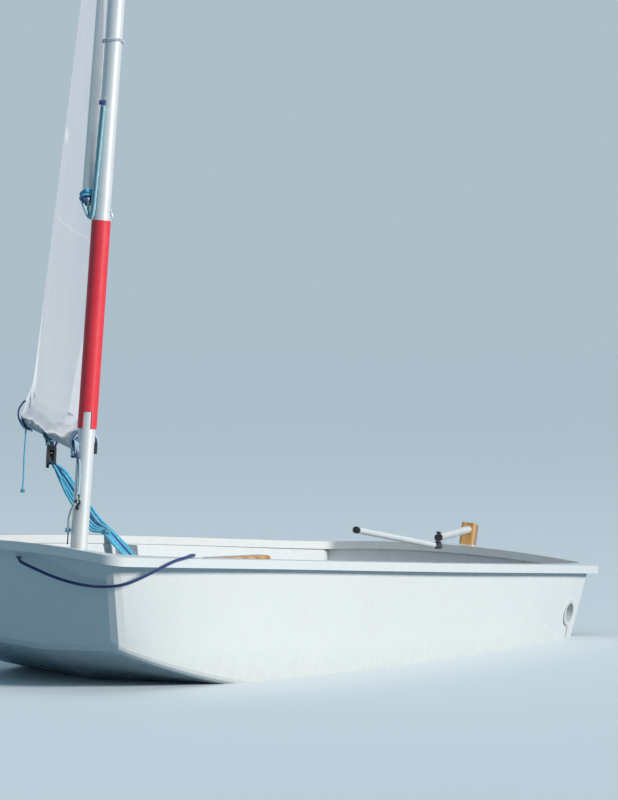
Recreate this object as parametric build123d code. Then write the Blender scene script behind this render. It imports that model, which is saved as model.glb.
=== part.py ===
from build123d import *
import math
import os

os.makedirs("parts", exist_ok=True)

# Sailing dinghy, open pram hull with a spritsail rig.
# Millimetres, +X forward, +Y port, +Z up, origin on the centreline amidships at the waterline.

# Hull, heights are above the lowest point of the keel
HULL_LENGTH = 2300.0
DRAFT = 96.0
SHEER_BOW = 430.0
SHEER_MID = 399.0
SHEER_STERN = 356.0
BOW_RAKE = 26.7
STERN_RAKE = 10.5
SIDE_WALL = 8.0
BOTTOM_WALL = 20.0
TRANSOM_WALL = 12.0
CHINE_RADIUS = 22.0
CHINE_FLATS = 3
CORNER_RADIUS = 20.0
HALF_LENGTH = HULL_LENGTH / 2
HULL_STATIONS = (
    dict(x=HALF_LENGTH, top_half=292.0, chine_half=244.0, chine_up=175.0, keel_up=160.0),
    dict(x=HALF_LENGTH * 0.522, top_half=456.0, chine_half=388.0, chine_up=76.0, keel_up=44.0),
    dict(x=0.0, top_half=529.0, chine_half=452.0, chine_up=36.0, keel_up=0.0),
    dict(x=-HALF_LENGTH * 0.478, top_half=522.0, chine_half=456.0, chine_up=48.0, keel_up=14.0),
    dict(x=-HALF_LENGTH, top_half=453.0, chine_half=418.0, chine_up=98.0, keel_up=66.0),
)

# Gunwale rail
RAIL_OUT = 25.0
RAIL_IN = 18.0
RAIL_DEEP = 23.0
RAIL_CORNER = 52.0
BOW_CROWN = 19.0
STERN_CROWN = 32.0

# Midship frame, thwart, case and step
FRAME_AFT_X = -90.0
FRAME_THICK = 15.0
FRAME_LEG = 62.0
FRAME_FLOOR_UP = 74.0
THWART_X = HALF_LENGTH - 282.0
THWART_LONG = 120.0
THWART_THICK = 20.0
THWART_BELOW_SHEER = 40.0
CASE_X = 104.0
BOARD_X = 97.0
CASE_SLOT_LONG = 330.0
CASE_SLOT_WIDE = 19.0
CASE_WALL = 14.0
CASE_TOP = 262.0
CASE_CAP_THICK = 10.0
CASE_CAP_OUT = 12.0
STEP_SIZE = 130.0
STEP_HIGH = 52.0
STEP_FLOOR = 16.0

# Daggerboard
BOARD_WIDE = 285.0
BOARD_THICK = 14.0
BOARD_LONG = 1040.0
BOARD_HEAD_HIGH = 22.0
BOARD_HEAD_WIDE = 44.0
BOARD_LIFT = 250.0

# Mast
MAST_HEEL_X = HALF_LENGTH - 272.5
MAST_FOOT_CLEAR = 21.92
MAST_RAKE = 2.0
MAST_DIAMETER = 45.0
MAST_WALL = 1.6
MAST_LENGTH = 2350.0
MAST_FIT = 3.0
SLEEVE_LOW = 596.0
SLEEVE_HIGH = 1134.6
SLEEVE_THICK = 2.5
SLEEVE_NOTCH_WIDE = 22.0
SLEEVE_NOTCH_HIGH = 44.0
SLEEVE_NOTCH_TURN = 32.0
CLEAT_AT = 405.0
CLEAT_TURN = 12.0
CLEAT_LONG = 40.0

# Boom
BOOM_UP = 545.0
BOOM_DIAMETER = 40.0
BOOM_LENGTH = 2057.0
BOOM_SWING = 39.0
BOOM_WALL = 1.6
BLOCK_AT = 1150.0
BLOCK_LONG = 44.0
BLOCK_WIDE = 26.0
BLOCK_HIGH = 62.0
BLOCK_DROP = 42.0
SHEAVE_WIDE = 12.0
SHEAVE_RADIUS = 16.0
FLOOR_BLOCK_X = -130.0
CLEW_AT = 1950.0
CLEW_UP = 52.0

# Sprit
SPRIT_DIAMETER = 27.5
SPRIT_HEEL_UP = 1180.0
SPRIT_PEAK = (30.0, -517.0, 3157.0)

# Rudder, tiller and extension
RUDDER_THICK = 14.0
PINTLE_OFF = 42.0
PINTLE_DIAMETER = 8.0
TILLER_SWING = 22.0
TILLER_DIAMETER = 22.0
TILLER_LENGTH = 690.0
EXTENSION_DIAMETER = 17.0
EXTENSION_LENGTH = 600.0

# Toe straps and buoyancy bags
STRAP_WIDE = 40.0
STRAP_THICK = 3.0
STRAP_Y = 110.0
STRAP_FORE_UP = 50.0
STRAP_AFT_UP = 226.0
BAG_SIDE_RADIUS = 82.0
BAG_BOW_RADIUS = 68.0
BAG_END = 40.0
BAG_FORE_X = FRAME_AFT_X - 75.0
BAG_AFT_X = 150.0 - HALF_LENGTH
BAG_BOW_X = HALF_LENGTH - 182.0
BAG_SIDES = 12
BAGS = (
    dict(a=(BAG_FORE_X, 377.0, 42.0), b=(BAG_AFT_X, 357.0, 90.0), radius=BAG_SIDE_RADIUS),
    dict(a=(BAG_FORE_X, -377.0, 42.0), b=(BAG_AFT_X, -357.0, 90.0), radius=BAG_SIDE_RADIUS),
    dict(a=(BAG_BOW_X, 215.0, 140.0), b=(BAG_BOW_X, -215.0, 140.0), radius=BAG_BOW_RADIUS),
)

# Painter, the bow line, 8 mm across
PAINTER_DIAMETER = 8.0
PAINTER_THROUGH = 32.0
PAINTER_STOPPER = 7.5
PAINTER_SIDES = 6
COIL_OUT = 120.0
COIL_IN = 58.0
COIL_Y = 196.0
COIL_LAYERS = 3
COIL_SIDES = 24
PAINTER_ROUTE = (
    dict(back=-12.0, y=56.0, z=283.0),
    dict(back=8.0, y=110.0, z=267.0),
    dict(back=23.0, y=164.0, z=254.0),
    dict(back=28.0, y=219.0, z=250.0),
    dict(back=27.0, y=272.0, z=253.0),
    dict(back=35.0, y=316.0, z=262.0),
    dict(back=68.0, y=345.0, z=282.0),
    dict(back=106.0, y=374.0, z=303.0),
    dict(back=146.0, y=392.0, z=327.0),
    dict(back=186.0, y=398.0, z=344.0),
    dict(back=226.0, y=378.0, z=345.0),
    dict(back=256.0, y=338.0, z=330.0),
    dict(back=277.0, y=298.0, z=303.0),
    dict(back=282.0, y=270.0, z=291.8),
)

BOX = 4000.0


def up(value):
    return value - DRAFT


def save(shape, name, color):
    shape.label = name
    shape.color = Color(*color)
    export_step(shape, "parts/" + name + ".step")
    print(name, round(shape.volume / 1000.0, 2), "cm3")
    return shape


# Hull sections
def sheer_up(x):
    half = HULL_LENGTH / 2
    a = ((SHEER_BOW + SHEER_STERN) / 2 - SHEER_MID) / half**2
    b = (SHEER_BOW - SHEER_STERN) / HULL_LENGTH
    return up(SHEER_MID + b * x + a * x * x)


def station_plane(x, inset):
    half = HULL_LENGTH / 2
    if abs(x) < half:
        return Plane(origin=(x, 0, 0), x_dir=(0, 1, 0), z_dir=(1, 0, 0)), 1.0
    rake = math.radians(BOW_RAKE if x > 0 else -STERN_RAKE)
    foot = x - math.copysign(inset, x) / math.cos(rake) - math.tan(rake) * sheer_up(x)
    plane = Plane(origin=(foot, 0, 0), x_dir=(0, 1, 0), z_dir=(math.cos(rake), 0, -math.sin(rake)))
    return plane, math.cos(rake)


def chine_points(keel, corner, top, radius):
    to_keel = (Vector(*keel) - Vector(*corner)).normalized()
    to_top = (Vector(*top) - Vector(*corner)).normalized()
    half_angle = math.acos(to_keel.dot(to_top)) / 2
    middle = Vector(*corner) + (to_keel + to_top).normalized() * (radius / math.sin(half_angle))
    first = Vector(*corner) + to_keel * (radius / math.tan(half_angle)) - middle
    bend = math.pi - 2 * half_angle
    points = []
    for i in range(CHINE_FLATS + 1):
        p = middle + first.rotate(Axis((0, 0, 0), (0, 0, 1)), math.degrees(bend) * i / CHINE_FLATS)
        points.append((p.X, p.Y))
    return points


def hull_section(row, side, floor, inset, radius, over):
    plane, lean = station_plane(row["x"], inset)
    top = sheer_up(row["x"])
    chine = up(row["chine_up"])
    flare = (row["top_half"] - row["chine_half"]) / (top - chine)
    y_top = row["top_half"] + flare * over - side
    y_chine = row["chine_half"] - side
    z_top = (top + over) / lean
    z_chine = (chine + floor) / lean
    z_keel = (up(row["keel_up"]) + floor) / lean
    chine_side = [(y_chine, z_chine)]
    if radius > 0:
        chine_side = chine_points((0, z_keel), (y_chine, z_chine), (y_top, z_top), radius)
    points = [(0, z_keel)] + chine_side + [(y_top, z_top), (-y_top, z_top)]
    points = points + [(-y, z) for y, z in chine_side[::-1]]
    with BuildSketch(plane) as sk:
        with BuildLine():
            Polyline(*points, close=True)
        make_face()
    return sk.sketch.face().outer_wire()


def hull_loft(side, floor, inset, radius, over):
    return Solid.make_loft([hull_section(row, side, floor, inset, radius, over) for row in HULL_STATIONS])


def station_value(key, x):
    total = 0.0
    for a in HULL_STATIONS:
        share = a[key]
        for b in HULL_STATIONS:
            if b["x"] != a["x"]:
                share = share * (x - b["x"]) / (a["x"] - b["x"])
        total = total + share
    return total


def end_section(row, inset, cut):
    inboard = row["x"] - math.copysign(inset, row["x"])
    moved = {key: station_value(key, inboard) for key in row}
    moved["x"] = row["x"]
    return hull_section(moved, cut, cut, inset, CHINE_RADIUS, 80.0)


def rounded_hull():
    middle = [hull_section(row, 0.0, 0.0, 0.0, CHINE_RADIUS, 80.0) for row in HULL_STATIONS[1:-1]]
    bow = HULL_STATIONS[0]
    stern = HULL_STATIONS[-1]
    first = end_section(bow, CORNER_RADIUS, 0.0)
    last = end_section(stern, CORNER_RADIUS, 0.0)
    body = Solid.make_loft([first] + middle + [last])
    part_way = CORNER_RADIUS * (1.0 - math.sqrt(0.5))
    for row, inner in ((bow, first), (stern, last)):
        sections = [inner, end_section(row, part_way, part_way), end_section(row, 0.0, CORNER_RADIUS)]
        body = body + Solid.make_loft(sections, ruled=True)
    return one(body)


def band_section(row, low, high):
    x = row["x"]
    crown = 1.0
    if abs(x) == HALF_LENGTH:
        crown = BOW_CROWN if x > 0 else STERN_CROWN
        x = x + math.copysign(RAIL_OUT + 35.0, x)
    half = row["top_half"] + 60.0
    grow = (half / row["top_half"]) ** 2
    z = sheer_up(row["x"]) - RAIL_DEEP + crown * (1.0 - grow)
    top = crown * grow
    plane = Plane(origin=(x, 0, 0), x_dir=(0, 1, 0), z_dir=(1, 0, 0))
    with BuildSketch(plane) as sk:
        with BuildLine():
            ThreePointArc((half, z), (0, z + top), (-half, z))
            Polyline((-half, z), (-half, high), (half, high), (half, z))
        make_face()
    return sk.sketch.face()


def plan_face(out, end_out, corner):
    xs = [row["x"] for row in HULL_STATIONS]
    ys = [row["top_half"] + out for row in HULL_STATIONS]
    xs[0] = xs[0] + end_out
    xs[-1] = xs[-1] - end_out
    with BuildSketch(Plane.XY) as sk:
        with BuildLine():
            Spline(*[(x, y) for x, y in zip(xs, ys)])
            Line((xs[-1], ys[-1]), (xs[-1], -ys[-1]))
            Spline(*[(x, -y) for x, y in zip(xs[::-1], ys[::-1])])
            Line((xs[0], -ys[0]), (xs[0], ys[0]))
        make_face()
        fillet(sk.vertices(), corner)
    return sk.sketch.face()


def box(x0, x1, y0, y1, z0, z1):
    return Pos((x0 + x1) / 2, (y0 + y1) / 2, (z0 + z1) / 2) * Box(x1 - x0, y1 - y0, z1 - z0)


def rod(a, b, radius):
    a = Vector(*a)
    b = Vector(*b)
    axis = b - a
    plane = Plane(origin=a, z_dir=axis)
    return plane.location * Cylinder(radius, axis.length, align=(Align.CENTER, Align.CENTER, Align.MIN))


def tube(a, b, radius, wall):
    return rod(a, b, radius) - rod(a, b, radius - wall)


def prism(a, b, radius, sides):
    axis = b - a
    across = Vector(0, 0, 1) if abs(axis.X) < abs(axis.Y) else Vector(0, 1, 0)
    plane = Plane(origin=a, x_dir=across.cross(axis), z_dir=axis)
    return plane.location * extrude(RegularPolygon(radius, sides), amount=axis.length)


def one(shape):
    solids = shape.solids()
    if len(solids) == 1:
        return solids[0]
    return Compound(children=list(solids))


# Hull, gunwale and what is moulded in
outer = rounded_hull()
cavity = hull_loft(SIDE_WALL, BOTTOM_WALL, TRANSOM_WALL, 0.0, 120.0)
above = Solid.make_loft([band_section(row, 0, BOX).outer_wire() for row in HULL_STATIONS])
case_slot = box(CASE_X - CASE_SLOT_LONG / 2, CASE_X + CASE_SLOT_LONG / 2,
                -CASE_SLOT_WIDE / 2, CASE_SLOT_WIDE / 2, -200.0, 500.0)
hull_shell = outer - cavity - above - case_slot
inside = cavity - above

PORT_X = 123.0 - HALF_LENGTH
PORT_UP = 124.0
PORT_HOLE = 31.0
PORT_RING = 38.0
PORT_RING_OUT = 2.5
PORT_CUP_WALL = 3.0
PORT_CUP_DEEP = 34.0
PORT_SIDES = 28
port_cups = []
for side in (1, -1):
    aim = Vector(-0.115, side * 0.985, -0.128)
    mid = Vector(PORT_X, side * 452.0, PORT_UP)
    a = mid - aim * PORT_CUP_DEEP
    b = mid + aim * 30.0
    face = mid - aim * 2.0
    hull_shell = hull_shell - prism(a, b, PORT_HOLE, PORT_SIDES)
    flange = prism(face - aim * 8.0, face + aim * PORT_RING_OUT, PORT_RING, PORT_SIDES) - outer
    cup = prism(a, face + aim * PORT_RING_OUT, PORT_HOLE, PORT_SIDES) + flange
    cup = cup - prism(a + aim * PORT_CUP_WALL, b, PORT_HOLE - PORT_CUP_WALL, PORT_SIDES)
    port_cups.append(one(cup))
hull_shell = one(hull_shell)

ring_out = plan_face(RAIL_OUT, RAIL_OUT, RAIL_CORNER)
ring_in = plan_face(-RAIL_IN, -RAIL_IN - 6.0, RAIL_CORNER - RAIL_OUT - RAIL_IN + 24.0)
ring = extrude(ring_out - ring_in, amount=600.0)
gunwale = (ring & above) - (Pos(0, 0, RAIL_DEEP) * above)
gunwale = one(gunwale)
print("gunwale faces", len(gunwale.faces()), gunwale.bounding_box())

# Midship frame
frame_z = up(FRAME_FLOOR_UP)
with BuildSketch(Plane.YZ) as sk:
    with BuildLine():
        Polyline((-388, frame_z), (388, frame_z), (466, 420), (-466, 420), close=True)
    make_face()
    fillet([v for v in sk.vertices() if v.Y < 200], 60)
frame_cut = Pos(-200, 0, 0) * extrude(sk.sketch.face(), amount=400, dir=(1, 0, 0))
frame_slab = box(FRAME_AFT_X, FRAME_AFT_X + FRAME_THICK, -BOX, BOX, -BOX, BOX)
midship_frame = one((frame_slab & inside) - frame_cut)

# Daggerboard case
case_fore = CASE_X + CASE_SLOT_LONG / 2 + CASE_WALL
case_aft = CASE_X - CASE_SLOT_LONG / 2 - CASE_WALL
case_half = CASE_SLOT_WIDE / 2 + CASE_WALL
case_block = box(case_aft, case_fore, -case_half, case_half, -200, CASE_TOP - CASE_CAP_THICK)
case_cap = box(case_aft, case_fore + CASE_CAP_OUT, -case_half - CASE_CAP_OUT,
               case_half + CASE_CAP_OUT, CASE_TOP - CASE_CAP_THICK, CASE_TOP)
case_cap = case_cap.fillet(4.0, case_cap.edges().filter_by(Axis.Z))
board_case = one(((case_block & inside) + case_cap) - case_slot)

# Mast thwart, collar and step
mast_foot_z = round(up(station_value("keel_up", MAST_HEEL_X)) + BOTTOM_WALL + MAST_FOOT_CLEAR, 2)
mast_dir = Vector(-math.sin(math.radians(MAST_RAKE)), 0, math.cos(math.radians(MAST_RAKE)))
mast_foot = Vector(MAST_HEEL_X, 0, mast_foot_z)


def on_mast(along):
    return mast_foot + mast_dir * along


thwart_top = sheer_up(THWART_X) - THWART_BELOW_SHEER
thwart_slab = box(THWART_X - THWART_LONG / 2, THWART_X + THWART_LONG / 2, -BOX, BOX,
                  thwart_top - THWART_THICK, thwart_top)
mast_bore = rod(tuple(on_mast(200)), tuple(on_mast(300)), MAST_DIAMETER / 2 + MAST_FIT + 4.0)
thwart = one((thwart_slab & inside) - mast_bore)
COLLAR_FIT = 0.10
COLLAR_LIP = 44.0
collar_mid = on_mast((thwart_top - mast_foot_z) / mast_dir.Z)
collar_tube = rod(tuple(collar_mid - mast_dir * 18.0), tuple(collar_mid + mast_dir * 4.0), MAST_DIAMETER / 2 + MAST_FIT + 4.0)
collar_lip = Pos(collar_mid.X, 0, thwart_top) * extrude(RegularPolygon(COLLAR_LIP, 24), amount=8.0)
collar_hole = rod(tuple(on_mast(150)), tuple(on_mast(350)), MAST_DIAMETER / 2 + COLLAR_FIT)
mast_collar = one((collar_tube + collar_lip) - collar_hole)
step_block = box(MAST_HEEL_X - STEP_SIZE / 2, MAST_HEEL_X + STEP_SIZE / 2, -STEP_SIZE / 2, STEP_SIZE / 2,
                 -100, mast_foot_z + 34.0)
step_block = step_block.chamfer(12.0, None, step_block.edges().filter_by(Axis.Z))
step_hole = rod(tuple(on_mast(-0.4)), tuple(on_mast(120)), MAST_DIAMETER / 2 + COLLAR_FIT)
mast_step = one((step_block & inside) - step_hole)

# Painter hole ferrule through the bow transom
bow_lean = math.radians(BOW_RAKE)
bow_normal = Vector(math.cos(bow_lean), 0, -math.sin(bow_lean))
bow_dir = Vector(math.sin(bow_lean), 0, math.cos(bow_lean))
FERRULE_UP = 309.0
FERRULE_RADIUS = 7.0
FERRULE_FLANGE = 11.0
bow_top = Vector(HULL_LENGTH / 2, 0, sheer_up(HULL_LENGTH / 2))
ferrule_mid = bow_top + bow_dir * ((FERRULE_UP - bow_top.Z) / bow_dir.Z)
f0 = ferrule_mid - bow_normal * (TRANSOM_WALL + 2.0)
f1 = ferrule_mid + bow_normal * 3.0
hull_shell = one(hull_shell - prism(ferrule_mid - bow_normal * 40, ferrule_mid + bow_normal * 40, FERRULE_RADIUS, 12))
ferrule = prism(f0, f1, FERRULE_RADIUS, 12) + prism(ferrule_mid, f1, FERRULE_FLANGE, 16)
ferrule = one(ferrule - rod(tuple(f0), tuple(f1), PAINTER_DIAMETER / 2 + 0.5))

# Rudder frame, local X aft, local Z up along the pintle line
stern_lean = math.radians(STERN_RAKE)
aft = Vector(-math.cos(stern_lean), 0, -math.sin(stern_lean))
rise = Vector(-math.sin(stern_lean), 0, math.cos(stern_lean))
rudder_origin = Vector(-HULL_LENGTH / 2, 0, sheer_up(-HULL_LENGTH / 2)) + aft * PINTLE_OFF
rudder_plane = Plane(origin=rudder_origin, x_dir=aft, z_dir=rise)
swing = Plane(origin=rudder_origin, x_dir=aft.rotate(Axis((0, 0, 0), rise), TILLER_SWING), z_dir=rise)
GUDGEONS = (-52.0, -205.0)
GUDGEON_PLATE = 2.5
PIN_RADIUS = PINTLE_DIAMETER / 2
PIN_FIT = 0.08
gudgeons = []
for h in GUDGEONS:
    plate = box(-PINTLE_OFF - GUDGEON_PLATE, -PINTLE_OFF, -30, 30, h - 14, h + 14)
    tongue = box(-PINTLE_OFF - 1.0, 0, -8, 8, h - 5, h + 5)
    eye = Pos(0, 0, h) * Cylinder(9.0, 10.0)
    bore = Pos(0, 0, h) * Cylinder(PIN_RADIUS + PIN_FIT, 60.0)
    gudgeons.append(one(rudder_plane.location * ((plate + tongue + eye) - bore)))
    hull_shell = hull_shell - rudder_plane.location * plate
hull_shell = one(hull_shell)

BLADE = (
    (17.0, 20.0), (17.0, -560.0), (60.0, -602.0), (232.0, -596.0), (262.0, -300.0), (120.0, -66.0), (95.0, 20.0),
)
with BuildSketch(Plane.XZ) as sk:
    with BuildLine():
        Polyline(*BLADE, close=True)
    make_face()
    fillet([v for v in sk.vertices() if v.X > 200], 40)
    fillet([v for v in sk.vertices() if 90 < v.X < 130 and v.Y < -10], 60)
blade = Pos(0, RUDDER_THICK / 2, 0) * extrude(sk.sketch.face(), amount=RUDDER_THICK, dir=(0, -1, 0))
head_up = 80.0
head = box(17.0, 96.0, -22, 22, -60, 104)
head = head.fillet(8.0, head.edges().filter_by(Axis.Z))
head = head - box(0, 200, -RUDDER_THICK / 2, RUDDER_THICK / 2, -200, 20.0)
pintles = []
for h in GUDGEONS:
    low = h - 18.0
    arm = box(-6, 17.0, -6, 6, h + 5.6, h + 13.6) + Pos(0, 0, h + 9.6) * Cylinder(6.0, 8.0)
    pin = Pos(0, 0, (low + h + 9.6) / 2) * Cylinder(PIN_RADIUS, h + 9.6 - low)
    strap_half = 24.0 if h > -60 else RUDDER_THICK / 2 + 2.0
    strap = box(15.0, 17.0, -strap_half, strap_half, h + 0.6, h + 18.6)
    if h < -60:
        strap = strap + box(15.0, 75.0, RUDDER_THICK / 2, strap_half, h + 0.6, h + 18.6)
        strap = strap + box(15.0, 75.0, -strap_half, -RUDDER_THICK / 2, h + 0.6, h + 18.6)
    pintles.append(arm + pin + strap)

# Tiller, swung with the rudder
tiller_start = swing.from_local_coords(Vector(92.0, 0, head_up))
tiller_zero = swing.from_local_coords(Vector(0, 0, head_up))
turn = math.radians(TILLER_SWING)
flat_dir = Vector(math.cos(turn), math.sin(turn), 0.012)
flat_dir = flat_dir.normalized()
tiller_back = tiller_zero - flat_dir * 84.0
tiller_end = tiller_zero + flat_dir * TILLER_LENGTH
TILLER_PLUG = 22.0
tiller = tube(tuple(tiller_back), tuple(tiller_end - flat_dir * TILLER_PLUG), TILLER_DIAMETER / 2, 1.5)
head = one((swing.location * head) - rod(tuple(tiller_back - flat_dir * 40), tuple(tiller_end), TILLER_DIAMETER / 2))
blade = one(swing.location * blade)
pintles = [one(swing.location * p) for p in pintles]
tiller_plug = prism(tiller_end - flat_dir * TILLER_PLUG, tiller_end, TILLER_DIAMETER / 2, 16)
U_PIN = 3.0
U_FIT = 0.08
u_at = tiller_end - flat_dir * 7.0
u_hole = rod(tuple(u_at - Vector(0, 0, 40)), tuple(u_at + Vector(0, 0, 40)), U_PIN + U_FIT)
tiller = one(tiller)
tiller_plug = one(tiller_plug - u_hole)
U_DROP = 24.0
u_mid = u_at - Vector(0, 0, U_DROP)
EXT_AZ = math.radians(7.0)
EXT_LIFT = math.radians(6.0)
ext_flat = Vector(math.cos(EXT_AZ), math.sin(EXT_AZ), 0)
ext_side = Vector(-math.sin(EXT_AZ), math.cos(EXT_AZ), 0)
ext_dir = (ext_flat * math.cos(EXT_LIFT) + Vector(0, 0, math.sin(EXT_LIFT))).normalized()
u_plane = Plane(origin=u_mid, x_dir=ext_flat, z_dir=(0, 0, 1))
u_block = box(-8, 8, -7, 7, -8, U_DROP - TILLER_DIAMETER / 2 - 0.5)
u_shank = Pos(0, 0, (U_DROP + TILLER_DIAMETER / 2 + 6.0) / 2) * Cylinder(U_PIN, U_DROP + TILLER_DIAMETER / 2 + 6.0)
u_knob = box(-5.0, 5.0, -5.0, 5.0, U_DROP + TILLER_DIAMETER / 2 + 0.5, U_DROP + TILLER_DIAMETER / 2 + 6.0)
u_bore = Pos(0, 0, 0) * Rotation(90, 0, 0) * Cylinder(2.5 + U_FIT, 60)
universal = one(u_plane.location * ((u_block + u_shank + u_knob) - u_bore))
fork_plane = Plane(origin=u_mid, x_dir=ext_dir, z_dir=ext_dir.cross(ext_side))
ear = box(-6, 30, 7.6, 11.6, -5.5, 5.5)
ear = ear + mirror(ear, Plane.XZ)
fork = ear + box(20, 34, -11.6, 11.6, -5.5, 5.5) + Rotation(90, 0, 0) * Cylinder(2.5, 23.2)
fork = fork + Pos(33, 0, 0) * Rotation(0, 90, 0) * extrude(RegularPolygon(EXTENSION_DIAMETER / 2 - 1.5, 12), amount=22.0)
ext_fork = one(fork_plane.location * fork)
ext_tube = tube(tuple(u_mid + ext_dir * 34.0), tuple(u_mid + ext_dir * (EXTENSION_LENGTH - 12.0)), EXTENSION_DIAMETER / 2, 1.5)
ext_tube = one(ext_tube)
grip_start = u_mid + ext_dir * (EXTENSION_LENGTH - 12.0)
ext_end = prism(grip_start, u_mid + ext_dir * EXTENSION_LENGTH, EXTENSION_DIAMETER / 2 + 1.0, 16)

# Mast
CAP = 6.0
CAP_SIDES = 20
mast = one(tube(tuple(on_mast(CAP)), tuple(on_mast(MAST_LENGTH - CAP)), MAST_DIAMETER / 2, MAST_WALL))
mast_heel = prism(on_mast(0), on_mast(CAP), MAST_DIAMETER / 2, CAP_SIDES)
mast_top = prism(on_mast(MAST_LENGTH - CAP), on_mast(MAST_LENGTH), MAST_DIAMETER / 2, CAP_SIDES)
sleeve = rod(tuple(on_mast(SLEEVE_LOW)), tuple(on_mast(SLEEVE_HIGH)), MAST_DIAMETER / 2 + SLEEVE_THICK)
sleeve = sleeve - rod(tuple(on_mast(SLEEVE_LOW - 50)), tuple(on_mast(SLEEVE_HIGH + 50)), MAST_DIAMETER / 2)
mast_plane = Plane(origin=mast_foot, x_dir=(mast_dir.Z, 0, -mast_dir.X), z_dir=mast_dir)
notch = box(0, MAST_DIAMETER, -SLEEVE_NOTCH_WIDE / 2, SLEEVE_NOTCH_WIDE / 2,
            SLEEVE_LOW - 1.0, SLEEVE_LOW + SLEEVE_NOTCH_HIGH)
sleeve = one(sleeve - mast_plane.location * (Rotation(0, 0, SLEEVE_NOTCH_TURN) * notch))
cleat = box(0, 6.0, -5.0, 5.0, CLEAT_AT - 7.0, CLEAT_AT + 7.0)
cleat = cleat + box(6.0, 11.0, -4.0, 4.0, CLEAT_AT - CLEAT_LONG / 2, CLEAT_AT + CLEAT_LONG / 2)
cleat = Rotation(0, 0, CLEAT_TURN) * Pos(MAST_DIAMETER / 2 - 0.7, 0, 0) * cleat
cleat = one((mast_plane.location * cleat) - rod(tuple(on_mast(CLEAT_AT - 50)), tuple(on_mast(CLEAT_AT + 50)), MAST_DIAMETER / 2))

# Boom, jaw and end plug
boom_turn = math.radians(BOOM_SWING)
boom_dir = Vector(-math.cos(boom_turn), -math.sin(boom_turn), 0)
boom_side = Vector(-math.sin(boom_turn), math.cos(boom_turn), 0)
boom_root = on_mast((BOOM_UP + 39.0 - mast_foot_z) / mast_dir.Z)


def on_boom(along, side=0.0, high=0.0):
    return boom_root + boom_dir * along + boom_side * side + Vector(0, 0, high)


boom = one(tube(tuple(on_boom(70)), tuple(on_boom(BOOM_LENGTH - CAP)), BOOM_DIAMETER / 2, BOOM_WALL))
boom_plane = Plane(origin=boom_root, x_dir=boom_dir, z_dir=(0, 0, 1))
jaw = box(-12, 70, -30, 30, -15, 15)
jaw = jaw.chamfer(10.0, None, jaw.edges().filter_by(Axis.Z))
jaw = jaw + Pos(64, 0, 0) * Rotation(0, 90, 0) * extrude(RegularPolygon(BOOM_DIAMETER / 2 - BOOM_WALL, 16), amount=40.0)
jaw = (boom_plane.location * jaw) - rod(tuple(on_mast(BOOM_UP - 145.0)), tuple(on_mast(BOOM_UP + 155.0)), MAST_DIAMETER / 2 + 0.3)
jaw = one(jaw - (boom_plane.location * box(-60, 0, -MAST_DIAMETER / 2 - 0.3, MAST_DIAMETER / 2 + 0.3, -40, 40)))
boom_plug = prism(on_boom(BOOM_LENGTH - CAP), on_boom(BOOM_LENGTH), BOOM_DIAMETER / 2, CAP_SIDES)

# Mainsheet blocks, one hung under the boom and one on the floor
BAND = 2.5


def block_body(top):
    body = box(-BLOCK_LONG / 2, BLOCK_LONG / 2, -BLOCK_WIDE / 2, BLOCK_WIDE / 2, top - BLOCK_HIGH, top)
    body = body.chamfer(13.0, None, body.edges().filter_by(Axis.Y))
    body = body - box(-BOX, BOX, -SHEAVE_WIDE / 2, SHEAVE_WIDE / 2, top - BLOCK_HIGH - 1.0, top - 10.0)
    sheave = Rotation(90, 0, 0) * extrude(RegularPolygon(SHEAVE_RADIUS, 16), amount=SHEAVE_WIDE / 2, both=True)
    return body + Pos(0, 0, top - BLOCK_HIGH / 2 - 5.0) * sheave


block_plane = Plane(origin=on_boom(BLOCK_AT), x_dir=boom_dir, z_dir=(0, 0, 1))
band = extrude(RegularPolygon(BOOM_DIAMETER / 2 + BAND, 16, major_radius=False), amount=11.0, both=True)
band = Rotation(0, 90, 0) * (band - Cylinder(BOOM_DIAMETER / 2, 30.0))
link = box(-6.0, 6.0, -5.0, 5.0, -BLOCK_DROP - 2.0, -BOOM_DIAMETER / 2 - 1.0)
boom_block = one(block_plane.location * (band + link + block_body(-BLOCK_DROP)))

# Sprit
sprit_heel = on_mast((SPRIT_HEEL_UP + 34.0 - mast_foot_z) / mast_dir.Z) - boom_side * 41.0
sprit_peak = Vector(*SPRIT_PEAK) - boom_side * 16.2
sprit_axis = (sprit_peak - sprit_heel).normalized()
sprit = one(tube(tuple(sprit_heel + sprit_axis * 20), tuple(sprit_peak - sprit_axis * 20), SPRIT_DIAMETER / 2, 1.5))
sprit_low = prism(sprit_heel, sprit_heel + sprit_axis * 20, SPRIT_DIAMETER / 2, CAP_SIDES)
sprit_high = prism(sprit_peak - sprit_axis * 20, sprit_peak, SPRIT_DIAMETER / 2, CAP_SIDES)
sprit_high = one(sprit_high + prism(sprit_peak, sprit_peak + sprit_axis * 16, 6.0, 12))
print("sprit length", (sprit_peak - sprit_heel).length)

# Daggerboard with its wooden head
board_low = CASE_TOP + BOARD_HEAD_HIGH - BOARD_LONG
board = box(BOARD_X - BOARD_WIDE / 2, BOARD_X + BOARD_WIDE / 2, -BOARD_THICK / 2, BOARD_THICK / 2,
            board_low, CASE_TOP + BOARD_HEAD_HIGH)
low_corners = [e for e in board.edges().filter_by(Axis.Y) if e.center().Z < board_low + 1]
board = one(board.fillet(40.0, low_corners))
grips = []
for side in (1, -1):
    y0 = side * BOARD_THICK / 2
    y1 = side * BOARD_HEAD_WIDE / 2
    g = box(BOARD_X - BOARD_WIDE / 2, BOARD_X + BOARD_WIDE / 2, min(y0, y1), max(y0, y1),
            CASE_TOP + 0.3, CASE_TOP + BOARD_HEAD_HIGH)
    top_edge = [e for e in g.edges().filter_by(Axis.X) if abs(e.center().Y - y1) < 0.1 and e.center().Z > CASE_TOP + 10]
    grips.append(g.fillet(6.0, top_edge))

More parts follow.
